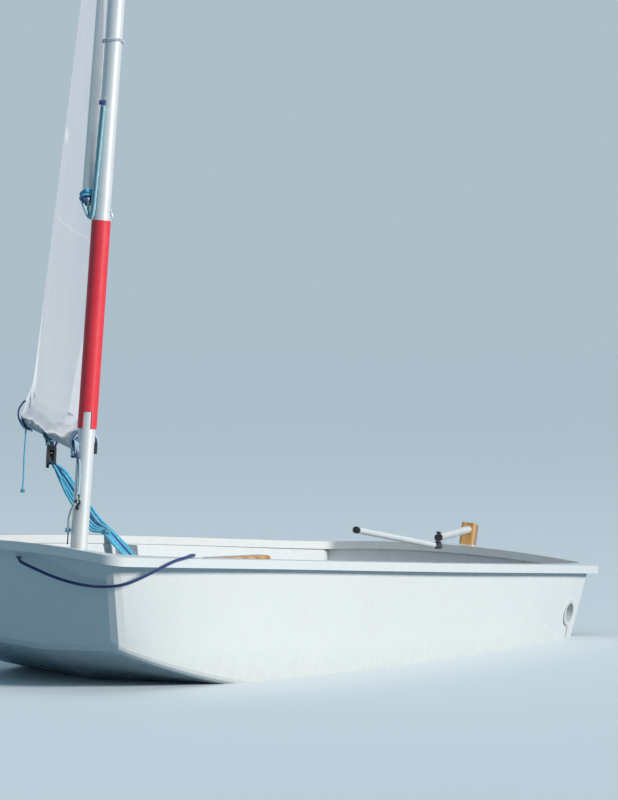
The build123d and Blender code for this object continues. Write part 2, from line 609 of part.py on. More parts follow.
# Sail as a flat stand-in plate in the plane of boom and sprit
SAIL_THICK = 4.0
LUFF_OFF = MAST_DIAMETER / 2 + SLEEVE_THICK + 0.4
tack = on_mast(BOOM_UP + 46) + boom_dir * LUFF_OFF
clew = on_boom(CLEW_AT, 0, CLEW_UP)
throat = on_mast(MAST_LENGTH - 24) + boom_dir * LUFF_OFF
peak = Vector(*SPRIT_PEAK)
print("leech", (peak - clew).length, "luff", (throat - tack).length, "head", (peak - throat).length, "foot", (clew - tack).length)
print("sail area", ((clew - tack).cross(peak - tack).length + (peak - tack).cross(throat - tack).length) / 2e6)


def sail_plate(corners, thick):
    front = [c + boom_side * (thick / 2) for c in corners]
    back = [c - boom_side * (thick / 2) for c in corners]
    faces = []
    n = len(corners)
    tris = ((0, 1, 2), (0, 2, 3))
    for t in tris:
        faces.append(Face(Wire.make_polygon([front[i] for i in t], close=True)))
        faces.append(Face(Wire.make_polygon([back[i] for i in t], close=True)))
    for i in range(n):
        j = (i + 1) % n
        faces.append(Face(Wire.make_polygon([front[i], front[j], back[j]], close=True)))
        faces.append(Face(Wire.make_polygon([front[i], back[j], back[i]], close=True)))
    return Solid(Shell(faces))


sail = sail_plate([tack, clew, peak, throat], SAIL_THICK)
print("sail valid", sail.is_valid, sail.volume)

# Toe straps from the midship frame to the stern
with BuildSketch(Plane.XZ) as sk:
    with BuildLine():
        Polyline((FRAME_AFT_X, up(STRAP_FORE_UP)), (FRAME_AFT_X, up(STRAP_FORE_UP) + STRAP_THICK),
                 (-HALF_LENGTH, up(STRAP_AFT_UP) + STRAP_THICK), (-HALF_LENGTH, up(STRAP_AFT_UP)), close=True)
    make_face()
straps = []
for side in (1, -1):
    strap = Pos(0, side * STRAP_Y + STRAP_WIDE / 2, 0) * extrude(sk.sketch.face(), amount=STRAP_WIDE, dir=(0, -1, 0))
    straps.append(one(strap & cavity))

# Buoyancy bags, pressed against the hull
bags = []
for row in BAGS:
    a = Vector(*row["a"])
    b = Vector(*row["b"])
    along = (b - a).normalized()
    bag = prism(a, b, row["radius"] / math.cos(math.pi / BAG_SIDES), BAG_SIDES)
    ends = [e for e in bag.edges() if min((e.center() - a).dot(along), (b - e.center()).dot(along)) < 1.0]
    bags.append(one(bag.chamfer(BAG_END, None, ends) & inside))

# Floor block for the mainsheet
floor_z = up(0.0) + BOTTOM_WALL
foot_pad = box(FLOOR_BLOCK_X - 26.0, FLOOR_BLOCK_X + 26.0, -18.0, 18.0, floor_z - 10.0, floor_z + 6.0)
floor_body = Pos(FLOOR_BLOCK_X, 0, 0) * mirror(block_body(0.0), Plane.XY)
floor_block = one((foot_pad & inside) + Pos(0, 0, floor_z + 5.0) * floor_body)

# Painter: stopper inside the bow, round the port corner, over the rail, coil on the thwart
route = [tuple(ferrule_mid - bow_normal * PAINTER_THROUGH), tuple(ferrule_mid + bow_normal * PAINTER_THROUGH)]
route = route + [(HALF_LENGTH - row["back"], row["y"], row["z"]) for row in PAINTER_ROUTE]
route.append((THWART_X, COIL_Y + COIL_OUT / 2, thwart_top + PAINTER_DIAMETER / 2 + 0.2))
radii = []
for i in range(1, len(route) - 1):
    p = Vector(*route[i - 1])
    q = Vector(*route[i])
    r = Vector(*route[i + 1])
    turn = math.radians((q - p).get_angle(r - q))
    shorter = min((q - p).length, (r - q).length)
    radii.append(0.45 * shorter / math.tan(turn / 2))
print("painter runs", [round((Vector(*route[i + 1]) - Vector(*route[i])).length) for i in range(len(route) - 1)])
print("painter radii", [round(r, 1) for r in radii])
with BuildLine() as bl:
    FilletPolyline(*route, radius=radii)
painter_path = bl.line.wires()[0]
start = Plane(origin=route[0], z_dir=Vector(*route[1]) - Vector(*route[0]))
painter_area = math.pi * PAINTER_DIAMETER**2 / 4
side_angle = 2 * math.pi / PAINTER_SIDES
painter_reach = math.sqrt(2 * painter_area / (PAINTER_SIDES * math.sin(side_angle)))
painter = sweep(start * RegularPolygon(painter_reach, PAINTER_SIDES), path=painter_path)
print("painter length", painter_path.length, "volume over section", painter.volume / painter_area)
stopper = rod(tuple(f0 - bow_normal * 14.0), tuple(f0), PAINTER_STOPPER)
painter = one(painter + stopper)
coil_out = RegularPolygon(COIL_OUT / 2, COIL_SIDES, major_radius=False)
coil_in = RegularPolygon(COIL_IN / 2, COIL_SIDES, major_radius=False)
coil = extrude(coil_out - coil_in, amount=COIL_LAYERS * PAINTER_DIAMETER)
coil = one(Pos(THWART_X, COIL_Y, thwart_top) * Rotation(0, 0, 180.0 / COIL_SIDES) * coil)
turns = COIL_LAYERS * round((COIL_OUT - COIL_IN) / 2 / PAINTER_DIAMETER)
coil_length = turns * math.pi * (COIL_OUT + COIL_IN) / 2
print("coil turns", turns, "length", coil_length, "painter in all", painter_path.length + coil_length)
print("coil faces", [tuple(round(v, 2) for v in f.center()) for f in coil.faces().sort_by(Axis.Y)[-1:]])

WHITE = (0.9, 0.91, 0.92)
GREY = (0.75, 0.78, 0.8)
WOOD = (0.72, 0.48, 0.24)
BLACK = (0.05, 0.05, 0.05)
ALU = (0.8, 0.82, 0.83)
RED = (0.78, 0.06, 0.1)
BLUE = (0.05, 0.1, 0.35)

save(hull_shell, "hull_shell", WHITE)
save(gunwale, "gunwale_rail", GREY)
save(midship_frame, "midship_frame", WHITE)
save(board_case, "daggerboard_case", WHITE)
save(thwart, "mast_thwart", WHITE)
save(mast_collar, "mast_collar", BLACK)
save(mast_step, "mast_step", WHITE)
save(ferrule, "painter_ferrule", BLACK)
save(Compound(children=port_cups), "side_drain_ports", GREY)
save(Compound(children=gudgeons), "gudgeons", ALU)
save(blade, "rudder_blade", WOOD)
save(head, "rudder_head", WOOD)
save(Compound(children=pintles), "pintles", ALU)
save(tiller, "tiller", ALU)
save(tiller_plug, "tiller_plug", BLACK)
save(universal, "tiller_universal", BLACK)
save(ext_fork, "extension_fork", BLACK)
save(ext_tube, "extension_tube", ALU)
save(ext_end, "extension_grip", BLACK)
save(mast, "mast_tube", ALU)
save(Compound(children=[mast_heel, mast_top, boom_plug, sprit_low, sprit_high]), "spar_end_caps", BLACK)
save(sleeve, "mast_sleeve", RED)
save(cleat, "mast_cleat", BLACK)
save(boom, "boom_tube", ALU)
save(jaw, "boom_jaw", BLACK)
save(boom_block, "boom_block", BLACK)
save(sprit, "sprit_tube", ALU)
save(board, "daggerboard_blade", WOOD)
save(Compound(children=grips), "daggerboard_head", WOOD)
save(sail, "sail", WHITE)
save(Compound(children=straps), "toe_straps", BLACK)
save(Compound(children=bags), "buoyancy_bags", GREY)
save(floor_block, "floor_block", BLACK)
save(painter, "painter_line", BLUE)
save(coil, "painter_coil", BLUE)

print("mast foot", tuple(round(v / 1000, 6) for v in mast_foot), "dir", tuple(round(v, 6) for v in mast_dir))
print("rudder origin", tuple(round(v / 1000, 6) for v in rudder_origin), "rise", tuple(round(v, 6) for v in rise))
print("universal at", tuple(round(v / 1000, 6) for v in u_at), "pivot", tuple(round(v / 1000, 6) for v in u_mid))
print("lift axis", tuple(round(-v, 6) for v in ext_side), "extension end", tuple(round(v / 1000, 4) for v in (u_mid + ext_dir * EXTENSION_LENGTH)))
print("aft normal", tuple(round(v, 6) for v in aft), "thwart top", round(thwart_top, 2))
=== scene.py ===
import math

import bmesh
import bpy
from mathutils import Matrix, Vector, noise
from mathutils.bvhtree import BVHTree
from mathutils.geometry import tessellate_polygon


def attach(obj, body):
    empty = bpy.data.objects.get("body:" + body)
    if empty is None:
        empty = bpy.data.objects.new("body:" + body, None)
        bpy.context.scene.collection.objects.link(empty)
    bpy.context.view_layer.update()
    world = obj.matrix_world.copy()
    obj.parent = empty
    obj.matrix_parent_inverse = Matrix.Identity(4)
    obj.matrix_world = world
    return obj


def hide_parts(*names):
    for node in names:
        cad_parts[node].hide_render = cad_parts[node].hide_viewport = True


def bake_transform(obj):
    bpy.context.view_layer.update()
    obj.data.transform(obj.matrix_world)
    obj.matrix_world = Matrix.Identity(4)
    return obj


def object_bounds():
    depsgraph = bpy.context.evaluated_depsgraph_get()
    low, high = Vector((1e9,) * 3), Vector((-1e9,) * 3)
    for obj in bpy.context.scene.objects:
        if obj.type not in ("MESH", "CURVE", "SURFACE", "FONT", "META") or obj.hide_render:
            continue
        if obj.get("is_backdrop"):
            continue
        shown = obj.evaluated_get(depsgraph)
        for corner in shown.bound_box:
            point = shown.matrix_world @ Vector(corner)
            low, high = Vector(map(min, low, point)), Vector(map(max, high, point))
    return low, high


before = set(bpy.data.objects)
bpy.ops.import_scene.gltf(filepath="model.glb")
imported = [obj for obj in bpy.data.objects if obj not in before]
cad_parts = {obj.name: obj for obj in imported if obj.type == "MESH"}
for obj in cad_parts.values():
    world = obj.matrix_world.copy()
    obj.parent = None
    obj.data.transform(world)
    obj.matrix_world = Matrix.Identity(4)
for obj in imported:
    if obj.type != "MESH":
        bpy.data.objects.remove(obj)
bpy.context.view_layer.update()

# -------- camera, fitted to the photo
CAMERA_AT = (9.68482, 5.98988, 0.96861)
CAMERA_RIGHT = (-0.51679, 0.85464, 0.05015)
CAMERA_UP = (0.00724, -0.05421, 0.99850)
CAMERA_BACK = (0.85608, 0.51638, 0.02183)
CAMERA_LENS = 185.59
camera_data = bpy.data.cameras.new("camera")
camera_data.lens = CAMERA_LENS
camera_data.sensor_width = 36.0
camera_data.clip_start = 0.5
camera_data.clip_end = 200.0
camera = bpy.data.objects.new("camera", camera_data)
bpy.context.collection.objects.link(camera)
turn = Matrix((CAMERA_RIGHT, CAMERA_UP, CAMERA_BACK)).transposed().to_4x4()
camera.matrix_world = Matrix.Translation(CAMERA_AT) @ turn
bpy.context.scene.camera = camera

# -------- the frame's own lines
UP = Vector((0, 0, 1))
MAST_FOOT = Vector((0.8775, 0.0, 0.038))
MAST_DIR = Vector((-0.034899, 0.0, 0.999391))
MAST_FORE = Vector((MAST_DIR.z, 0, -MAST_DIR.x))
PORT_WAY = Vector((0, 1, 0))
MAST_R = 0.0225
BOOM_SWING = math.radians(39)
BOOM_DIR = Vector((-math.cos(BOOM_SWING), -math.sin(BOOM_SWING), 0.0))
BOOM_SIDE = Vector((-math.sin(BOOM_SWING), math.cos(BOOM_SWING), 0.0))
BOOM_ROOT = Vector((0.858434, 0.0, 0.584))
BOOM_R = 0.020
DRAIN_PORT_AT = (-1.0268, 0.436, 0.124)


def spoke(u, w, a):
    """The direction at angle a from u towards w."""
    return u * math.cos(a) + w * math.sin(a)


def on_mast(along, out=0.0, angle=0.0):
    """A point beside the mast; angle 0 is forward, positive to port."""
    return MAST_FOOT + MAST_DIR * along + spoke(MAST_FORE, PORT_WAY, math.radians(angle)) * out


def on_boom(along, side=0.0, high=0.0):
    """A point beside the boom; side is positive to port."""
    return BOOM_ROOT + BOOM_DIR * along + BOOM_SIDE * side + UP * high


def mast_line(*rows):
    return [on_mast(*row) for row in rows]


def boom_line(*rows):
    return [on_boom(*row) for row in rows]


SPRIT_HEEL = on_mast(1.17672) - BOOM_SIDE * 0.041
SPRIT_PEAK = Vector((0.030, -0.517, 3.157)) - BOOM_SIDE * 0.0162
SPRIT_R = 0.01375

# -------- material nodes
def new_material(name):
    """A material, its node tree and its shader."""
    m = bpy.data.materials.new(name)
    m.use_nodes = True
    return m, m.node_tree, m.node_tree.nodes["Principled BSDF"]


def feed(nt, n, inputs):
    """Link or set a node's inputs, each given by its name or number."""
    for key, value in inputs.items():
        socket = n.inputs[key]
        if hasattr(value, "is_linked"):
            nt.links.new(value, socket)
        else:
            socket.default_value = (*value, 1.0) if socket.type == "RGBA" else value


def node(nt, kind, inputs=None, **settings):
    n = nt.nodes.new(kind)
    for key, value in settings.items():
        setattr(n, key, value)
    feed(nt, n, inputs or {})
    return n


def maths(nt, operation, *values):
    return node(nt, "ShaderNodeMath", dict(enumerate(values)), operation=operation).outputs[0]


def coords(nt, scale=(1, 1, 1)):
    place = node(nt, "ShaderNodeTexCoord").outputs["Object"]
    return node(nt, "ShaderNodeMapping", {"Vector": place, "Scale": scale}).outputs["Vector"]


def noise_tex(nt, vec, scale, detail=3.0, rough=0.5):
    inputs = {"Vector": vec, "Scale": scale, "Detail": detail, "Roughness": rough}
    return node(nt, "ShaderNodeTexNoise", inputs).outputs["Fac"]


def wave_tex(nt, vec, direction, inputs):
    inputs = {"Vector": vec, **inputs}
    return node(nt, "ShaderNodeTexWave", inputs, wave_type="BANDS", bands_direction=direction).outputs["Fac"]


def mix(nt, a, b, fac):
    return node(nt, "ShaderNodeMix", {0: fac, 6: a, 7: b}, data_type="RGBA").outputs[2]


def to_range(nt, fac, low, high, from_low=0.3, from_high=0.7):
    inputs = {"Value": fac, "From Min": from_low, "From Max": from_high, "To Min": low, "To Max": high}
    return node(nt, "ShaderNodeMapRange", inputs).outputs["Result"]


def bump(nt, bsdf, height, strength, distance):
    inputs = {"Strength": strength, "Distance": distance, "Height": height}
    feed(nt, bsdf, {"Normal": node(nt, "ShaderNodeBump", inputs).outputs["Normal"]})


def darker(colour, share):
    return tuple(v * share for v in colour)


# -------- materials
DRIP_COLOUR = (0.16, 0.15, 0.13)
DRIP_LEAN = -0.30
DRIP_EDGES = (0.002, 0.0085)
DRIP_FOOT, DRIP_TOP, DRIP_END = 0.02, 0.088, 0.094
ABOVE_THE_BOAT = (0.0, 0.0, 0.9)


def drip(nt, vec, colour, side):
    """A thin dirty run down the side below a drain port."""
    at = node(nt, "ShaderNodeSeparateXYZ", {"Vector": vec}).outputs
    lean = maths(nt, "MULTIPLY_ADD", at["Z"], DRIP_LEAN, at["X"])
    away = maths(nt, "SUBTRACT", lean, DRAIN_PORT_AT[0] + DRIP_LEAN * DRAIN_PORT_AT[2])
    share = to_range(nt, maths(nt, "ABSOLUTE", away), 1.0, 0.0, *DRIP_EDGES)
    for socket, low, high in ((at["Z"], DRIP_FOOT, DRIP_TOP), (at["Y"], 0.30 * side, 0.33 * side)):
        share = maths(nt, "MULTIPLY", share, to_range(nt, socket, 0.0, 1.0, low, high))
    share = maths(nt, "MULTIPLY", share, to_range(nt, at["Z"], 0.75, 0.0, DRIP_TOP, DRIP_END))
    return mix(nt, colour, DRIP_COLOUR, share)


def inner_share(nt, vec):
    """1 on the faces that look into the boat, 0 on its outside."""
    reach = node(nt, "ShaderNodeVectorMath", {0: vec, 1: ABOVE_THE_BOAT}, operation="SUBTRACT")
    normal = node(nt, "ShaderNodeNewGeometry").outputs["Normal"]
    facing = node(nt, "ShaderNodeVectorMath", {0: reach.outputs["Vector"], 1: normal}, operation="DOT_PRODUCT")
    return to_range(nt, facing.outputs["Value"], 1.0, 0.0, -0.05, 0.05)


def gelcoat(name, base, grime, rough=(0.16, 0.34), waterline=True, drips=(), inside=None):
    """Glossy moulded plastic with scuffs, and on request grime near the water and port drips."""
    m, nt, bsdf = new_material(name)
    vec = coords(nt)
    cloud = noise_tex(nt, vec, 2.2, 4.0)
    colour = mix(nt, base, darker(base, 0.965), to_range(nt, cloud, 0.0, 1.0))
    if inside:
        colour = mix(nt, colour, inside, inner_share(nt, vec))
    if waterline:
        height = node(nt, "ShaderNodeSeparateXYZ", {"Vector": vec}).outputs["Z"]
        wobble = noise_tex(nt, coords(nt, (9, 9, 3)), 1.0, 4.0)
        band = to_range(nt, maths(nt, "MULTIPLY_ADD", wobble, 0.05, height), 1.0, 0.0, 0.02, 0.11)
        streak = noise_tex(nt, coords(nt, (60, 60, 2.0)), 1.0, 2.0)
        colour = mix(nt, colour, grime, maths(nt, "MULTIPLY", band, to_range(nt, streak, 0.10, 0.55)))
    scuff = noise_tex(nt, coords(nt, (2, 2, 14)), 3.0, 3.0, 0.55)
    colour = mix(nt, colour, darker(base, 0.8), to_range(nt, scuff, 0.0, 0.06, 0.58, 0.80))
    for side in drips:
        colour = drip(nt, vec, colour, side)
    roughness = to_range(nt, noise_tex(nt, vec, 14.0, 4.0), *rough)
    feed(nt, bsdf, {"Base Color": colour, "Roughness": roughness, "Coat Weight": 0.35, "Coat Roughness": 0.12})
    bump(nt, bsdf, noise_tex(nt, vec, 30.0, 2.0), 0.03, 0.002)
    return m


def plastic(name, base, worn, rough=(0.38, 0.6), grain=900.0, strength=0.12):
    """Dull plastic or coated cloth with worn patches and a fine grain."""
    m, nt, bsdf = new_material(name)
    vec = coords(nt)
    colour = mix(nt, base, worn, to_range(nt, noise_tex(nt, vec, 30.0, 5.0), 0.0, 1.0, 0.45, 0.75))
    feed(nt, bsdf, {"Base Color": colour, "Roughness": to_range(nt, noise_tex(nt, vec, 60.0, 3.0), *rough)})
    bump(nt, bsdf, noise_tex(nt, vec, grain, 2.0), strength, 0.0004)
    return m


def metal(name, base, worn, along=(1, 1, 1), rough=(0.28, 0.5), metallic=0.55):
    """Brushed metal; along stretches the brush marks."""
    m, nt, bsdf = new_material(name)
    brushed = noise_tex(nt, coords(nt, along), 120.0, 4.0, 0.6)
    colour = mix(nt, base, worn, to_range(nt, noise_tex(nt, coords(nt), 18.0, 5.0), 0.0, 0.8))
    feed(nt, bsdf, {"Base Color": colour, "Roughness": to_range(nt, brushed, *rough), "Metallic": metallic})
    bump(nt, bsdf, brushed, 0.08, 0.0003)
    return m


def wood(name, light, dark, stretch):
    """Varnished wood with its rings and fibres."""
    m, nt, bsdf = new_material(name)
    vec = coords(nt, stretch)
    rings = wave_tex(nt, vec, "X", {"Scale": 2.6, "Distortion": 7.0, "Detail": 3.0, "Detail Scale": 1.3})
    fibre = noise_tex(nt, vec, 34.0, 6.0, 0.7)
    colour = mix(nt, light, dark, to_range(nt, rings, 0.0, 0.75, 0.2, 0.9))
    colour = mix(nt, colour, darker(dark, 0.62), to_range(nt, fibre, 0.0, 0.55, 0.5, 0.8))
    feed(nt, bsdf, {"Base Color": colour, "Roughness": to_range(nt, fibre, 0.22, 0.42),
                    "Coat Weight": 0.5, "Coat Roughness": 0.15})
    bump(nt, bsdf, fibre, 0.12, 0.0006)
    return m


def weave(name, base, shade, scale, rough, translucent, strength, sheen):
    """Cloth with crossing threads, which can let light through."""
    m, nt, bsdf = new_material(name)
    vec = coords(nt)
    threads = maths(nt, "MULTIPLY", *(wave_tex(nt, vec, direction, {"Scale": scale, "Distortion": 0.4})
                                      for direction in ("X", "Z")))
    colour = mix(nt, base, shade, to_range(nt, noise_tex(nt, vec, 5.0, 5.0), 0.0, 0.8))
    colour = mix(nt, colour, darker(shade, 0.8), to_range(nt, threads, 0.25, 0.0, 0.0, 0.6))
    feed(nt, bsdf, {"Base Color": colour, "Roughness": rough, "Sheen Weight": sheen})
    bump(nt, bsdf, threads, strength, 0.0004)
    if translucent > 0:
        through = node(nt, "ShaderNodeBsdfTranslucent", {"Color": colour})
        both = node(nt, "ShaderNodeMixShader", {0: translucent, 1: bsdf.outputs[0], 2: through.outputs[0]})
        feed(nt, nt.nodes["Material Output"], {"Surface": both.outputs[0]})
    return m


def rope_material(name, base, fleck, scale=420.0):
    """Braided cord with flecks and painted shade between the strands."""
    m, nt, bsdf = new_material(name)
    vec = coords(nt)
    braid = wave_tex(nt, vec, "DIAGONAL", {"Scale": scale, "Distortion": 1.5})
    strand_shade = noise_tex(nt, vec, scale * 1.6, 3.0)
    colour = mix(nt, base, fleck, to_range(nt, braid, 0.0, 0.7, 0.35, 0.85))
    # Painted shade: dark patches for the shade between the strands
    colour = mix(nt, colour, darker(base, 0.5), to_range(nt, strand_shade, 0.0, 0.6, 0.5, 0.75))
    feed(nt, bsdf, {"Base Color": colour, "Roughness": 0.82, "Sheen Weight": 0.25})
    bump(nt, bsdf, braid, 0.5, 0.0006)
    return m


HULL = gelcoat("hull_gelcoat", (0.80, 0.79, 0.755), (0.62, 0.62, 0.55), drips=(1, -1), inside=(0.66, 0.67, 0.68))
RAIL = gelcoat("rail_gelcoat", (0.72, 0.725, 0.71), (0.6, 0.62, 0.6), waterline=False)
LINER = gelcoat("liner_gelcoat", (0.66, 0.665, 0.66), (0.6, 0.6, 0.56), (0.3, 0.5), waterline=False)
BLACK = plastic("black_plastic", (0.018, 0.019, 0.022), (0.07, 0.072, 0.075))
GREY = plastic("grey_plastic", (0.42, 0.45, 0.47), (0.55, 0.57, 0.58))
PORT = plastic("port_plastic", (0.58, 0.60, 0.60), (0.66, 0.68, 0.68))
SPAR = metal("spar_anodised", (0.75, 0.755, 0.74), (0.68, 0.69, 0.69), (40, 40, 1), metallic=0.25)
# The boom gets the spar's metal made darker: painted shade for a boom whose underside lies in shade
BOOM_SHADED = metal("boom_painted_shade", (0.50, 0.52, 0.50), (0.40, 0.42, 0.41), (40, 40, 1), metallic=0.4)
STEEL = metal("steel", (0.62, 0.63, 0.64), (0.45, 0.46, 0.47), (1, 1, 1), (0.18, 0.4))
WOOD = wood("varnished_wood", (0.62, 0.33, 0.10), (0.36, 0.16, 0.045), (2.0, 14.0, 1.0))
BOARD = wood("board_wood", (0.58, 0.34, 0.13), (0.40, 0.20, 0.07), (7.0, 30.0, 0.7))
RED = plastic("red_sleeve", (0.76, 0.034, 0.050), (0.80, 0.046, 0.062), (0.36, 0.46), 300.0, 0.06)
SAIL = weave("sailcloth", (0.92, 0.90, 0.905), (0.86, 0.84, 0.87), 260.0, 0.62, 0.46, 0.12, 0.1)
PATCH = weave("sail_patch", (0.88, 0.86, 0.87), (0.80, 0.79, 0.82), 260.0, 0.6, 0.12, 0.15, 0.1)
NAVY = rope_material("rope_navy", (0.012, 0.032, 0.13), (0.03, 0.08, 0.26))
CYAN = rope_material("rope_cyan", (0.05, 0.40, 0.62), (0.22, 0.62, 0.80))
PALE = rope_material("rope_pale_blue", (0.42, 0.57, 0.76), (0.60, 0.73, 0.86))
TEAL = rope_material("rope_teal", (0.07, 0.26, 0.36), (0.17, 0.42, 0.52))
PALE_TEAL = rope_material("rope_pale_teal", (0.30, 0.56, 0.64), (0.50, 0.74, 0.78))
SAGE = rope_material("rope_sage", (0.34, 0.46, 0.44), (0.52, 0.63, 0.60))
WHITE_CORD = rope_material("cord_white", (0.72, 0.74, 0.78), (0.55, 0.60, 0.70))
WEBBING = weave("webbing", (0.030, 0.031, 0.036), (0.05, 0.051, 0.056), 420.0, 0.85, 0.0, 0.5, 0.3)
VINYL = weave("bag_vinyl", (0.70, 0.72, 0.72), (0.62, 0.64, 0.64), 330.0, 0.45, 0.0, 0.08, 0.0)

FINISH = {
    "hull_shell": HULL, "gunwale_rail": RAIL, "midship_frame": LINER, "daggerboard_case": LINER,
    "mast_thwart": LINER, "mast_step": LINER, "mast_collar": BLACK, "painter_ferrule": RAIL,
    "side_drain_ports": PORT, "gudgeons": STEEL, "pintles": STEEL, "rudder_blade": BOARD, "rudder_head": WOOD,
    "tiller": SPAR, "tiller_plug": BLACK, "tiller_universal": BLACK, "extension_fork": BLACK,
    "extension_tube": SPAR, "extension_grip": BLACK, "mast_tube": SPAR, "spar_end_caps": BLACK,
    "mast_sleeve": RED, "mast_cleat": BLACK, "boom_tube": BOOM_SHADED, "boom_jaw": BLACK, "boom_block": BLACK,
    "sprit_tube": SPAR, "daggerboard_blade": BOARD, "daggerboard_head": WOOD, "floor_block": BLACK,
    "sail": SAIL, "toe_straps": WEBBING, "buoyancy_bags": VINYL, "painter_line": NAVY, "painter_coil": NAVY,
}
for name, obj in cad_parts.items():
    obj.data.materials.clear()
    obj.data.materials.append(FINISH[name])


# -------- mesh helpers
ROPE_LAY, TURNS_LAY, SHEET_LAY = 900.0, 1500.0, 700.0
STRAND_RELIEF = 0.10
CORD_SIDES = 8


def add_mesh(name, verts, faces, material, body, smooth=True):
    """A mesh object that rides on a body, or is left unattached when body is None."""
    me = bpy.data.meshes.new(name)
    me.from_pydata([tuple(v) for v in verts], [], faces)
    me.update()
    me.materials.append(material)
    for p in me.polygons:
        p.use_smooth = smooth
    o = bpy.data.objects.new(name, me)
    bpy.context.collection.objects.link(o)
    if body:
        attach(o, body)
    return o


def square_to(axis):
    """Two directions square to a unit axis and to each other."""
    ref = UP if abs(axis.z) < 0.9 else Vector((1, 0, 0))
    u = axis.cross(ref).normalized()
    return u, axis.cross(u)


def frames_along(points, closed=False):
    """The tangents, and pairs of directions square to them that don't twist."""
    n = len(points)
    tangents = []
    for i in range(n):
        a = points[(i - 1) % n] if closed or i else points[0]
        b = points[(i + 1) % n] if closed or i < n - 1 else points[-1]
        tangents.append((b - a).normalized())
    side = square_to(tangents[0])[0]
    pairs = []
    for t in tangents:
        side = (side - t * side.dot(t)).normalized()
        pairs.append((side, t.cross(side)))
    return tangents, pairs


def ring_faces(rings, sides, closed=False):
    """Quads from ring to ring, and a cap at each end of an open row of rings."""
    faces = []
    for i in range(rings if closed else rings - 1):
        a, b = i * sides, (i + 1) % rings * sides
        for j in range(sides):
            k = (j + 1) % sides
            faces.append((a + j, a + k, b + k, b + j))
    if not closed:
        faces.append(tuple(range(sides))[::-1])
        faces.append(tuple((rings - 1) * sides + j for j in range(sides)))
    return faces


def tube_geometry(points, radius, sides=CORD_SIDES, closed=False, lay=0.0, relief=0.0):
    """Vertices and faces of a tube; lay and relief give a rope its strands."""
    pairs = frames_along(points, closed)[1]
    verts = []
    run = 0.0
    for i, p in enumerate(points):
        if i:
            run += (p - points[i - 1]).length
        for j in range(sides):
            a = 2 * math.pi * j / sides
            verts.append(p + spoke(*pairs[i], a) * (radius * (1.0 + relief * math.cos(3 * a + lay * run))))
    return verts, ring_faces(len(points), sides, closed)


def smooth_path(points, step):
    """Catmull-Rom through the points, in pieces about a step long."""
    path = []
    last = len(points) - 1
    for i in range(last):
        p1, p2 = points[i], points[i + 1]
        p0 = points[i - 1] if i else p1 + (p1 - p2)
        p3 = points[i + 2] if i < last - 1 else p2 + (p2 - p1)
        m = max(2, int((p2 - p1).length / step))
        for k in range(m):
            t = k / m
            path.append(0.5 * ((2 * p1) + (p2 - p0) * t + (2 * p0 - 5 * p1 + 4 * p2 - p3) * t * t
                               + (3 * p1 - p0 - 3 * p2 + p3) * t * t * t))
    path.append(points[-1])
    return path


def rope(name, points, radius, material, sides=CORD_SIDES):
    """A laid rope of the rig through the points."""
    path = smooth_path(points, radius * 1.5)
    return add_mesh(name, *tube_geometry(path, radius, sides, False, ROPE_LAY, STRAND_RELIEF), material, "rig")


def ring(name, centre, axis, big, small, material):
    n = 28
    u, w = square_to(axis.normalized())
    path = [centre + spoke(u, w, 2 * math.pi * i / n) * big for i in range(n)]
    return add_mesh(name, *tube_geometry(path, small, 10, True), material, "rig")


def turns(name, centre, axis, big, small, count, pitch, material, tilt=0.0, start=0.0, wobble=0.0, tall=1.0):
    """Turns of cord laid side by side round a spar."""
    n = 18
    axis = axis.normalized()
    u, w = square_to(axis)
    path = []
    for i in range(int(count * n) + 1):
        a = start + 2 * math.pi * i / n
        r = big + wobble * math.sin(a * 1.37 + 0.7) + small * 0.25 * math.sin(a * 0.5)
        along = (i / n - count / 2) * pitch + tilt * math.cos(a)
        path.append(centre + axis * along + (u * math.cos(a) + w * math.sin(a) * tall) * r)
    geometry = tube_geometry(path, small, CORD_SIDES, False, TURNS_LAY, STRAND_RELIEF)
    return add_mesh(name, *geometry, material, "rig")


def knot(name, at, axis, size, cord, material, body="rig"):
    """An overhand knot as a trefoil of cord."""
    n = 60
    axis = axis.normalized()
    u, w = square_to(axis)
    path = []
    for i in range(n):
        a = 2 * math.pi * i / n
        x = (math.sin(a) + 2 * math.sin(2 * a)) / 3
        y = (math.cos(a) - 2 * math.cos(2 * a)) / 3
        path.append(at + (u * x + w * y) * size + axis * (-math.sin(3 * a) * size * 0.55))
    return add_mesh(name, *tube_geometry(path, cord, CORD_SIDES, True), material, body)


def disc_stack(name, rows, material, body, n=16):
    """A turned shape from (centre, radius) rows."""
    u, w = square_to((rows[-1][0] - rows[0][0]).normalized())
    verts = [centre + spoke(u, w, 2 * math.pi * i / n) * r for centre, r in rows for i in range(n)]
    return add_mesh(name, verts, ring_faces(len(rows), n), material, body, smooth=False)


def join(name, objects):
    """One object out of several with the same rider."""
    bpy.ops.object.select_all(action="DESELECT")
    for o in objects:
        o.select_set(True)
    bpy.context.view_layer.objects.active = objects[0]
    bpy.ops.object.join()
    objects[0].name = name
    return objects[0]


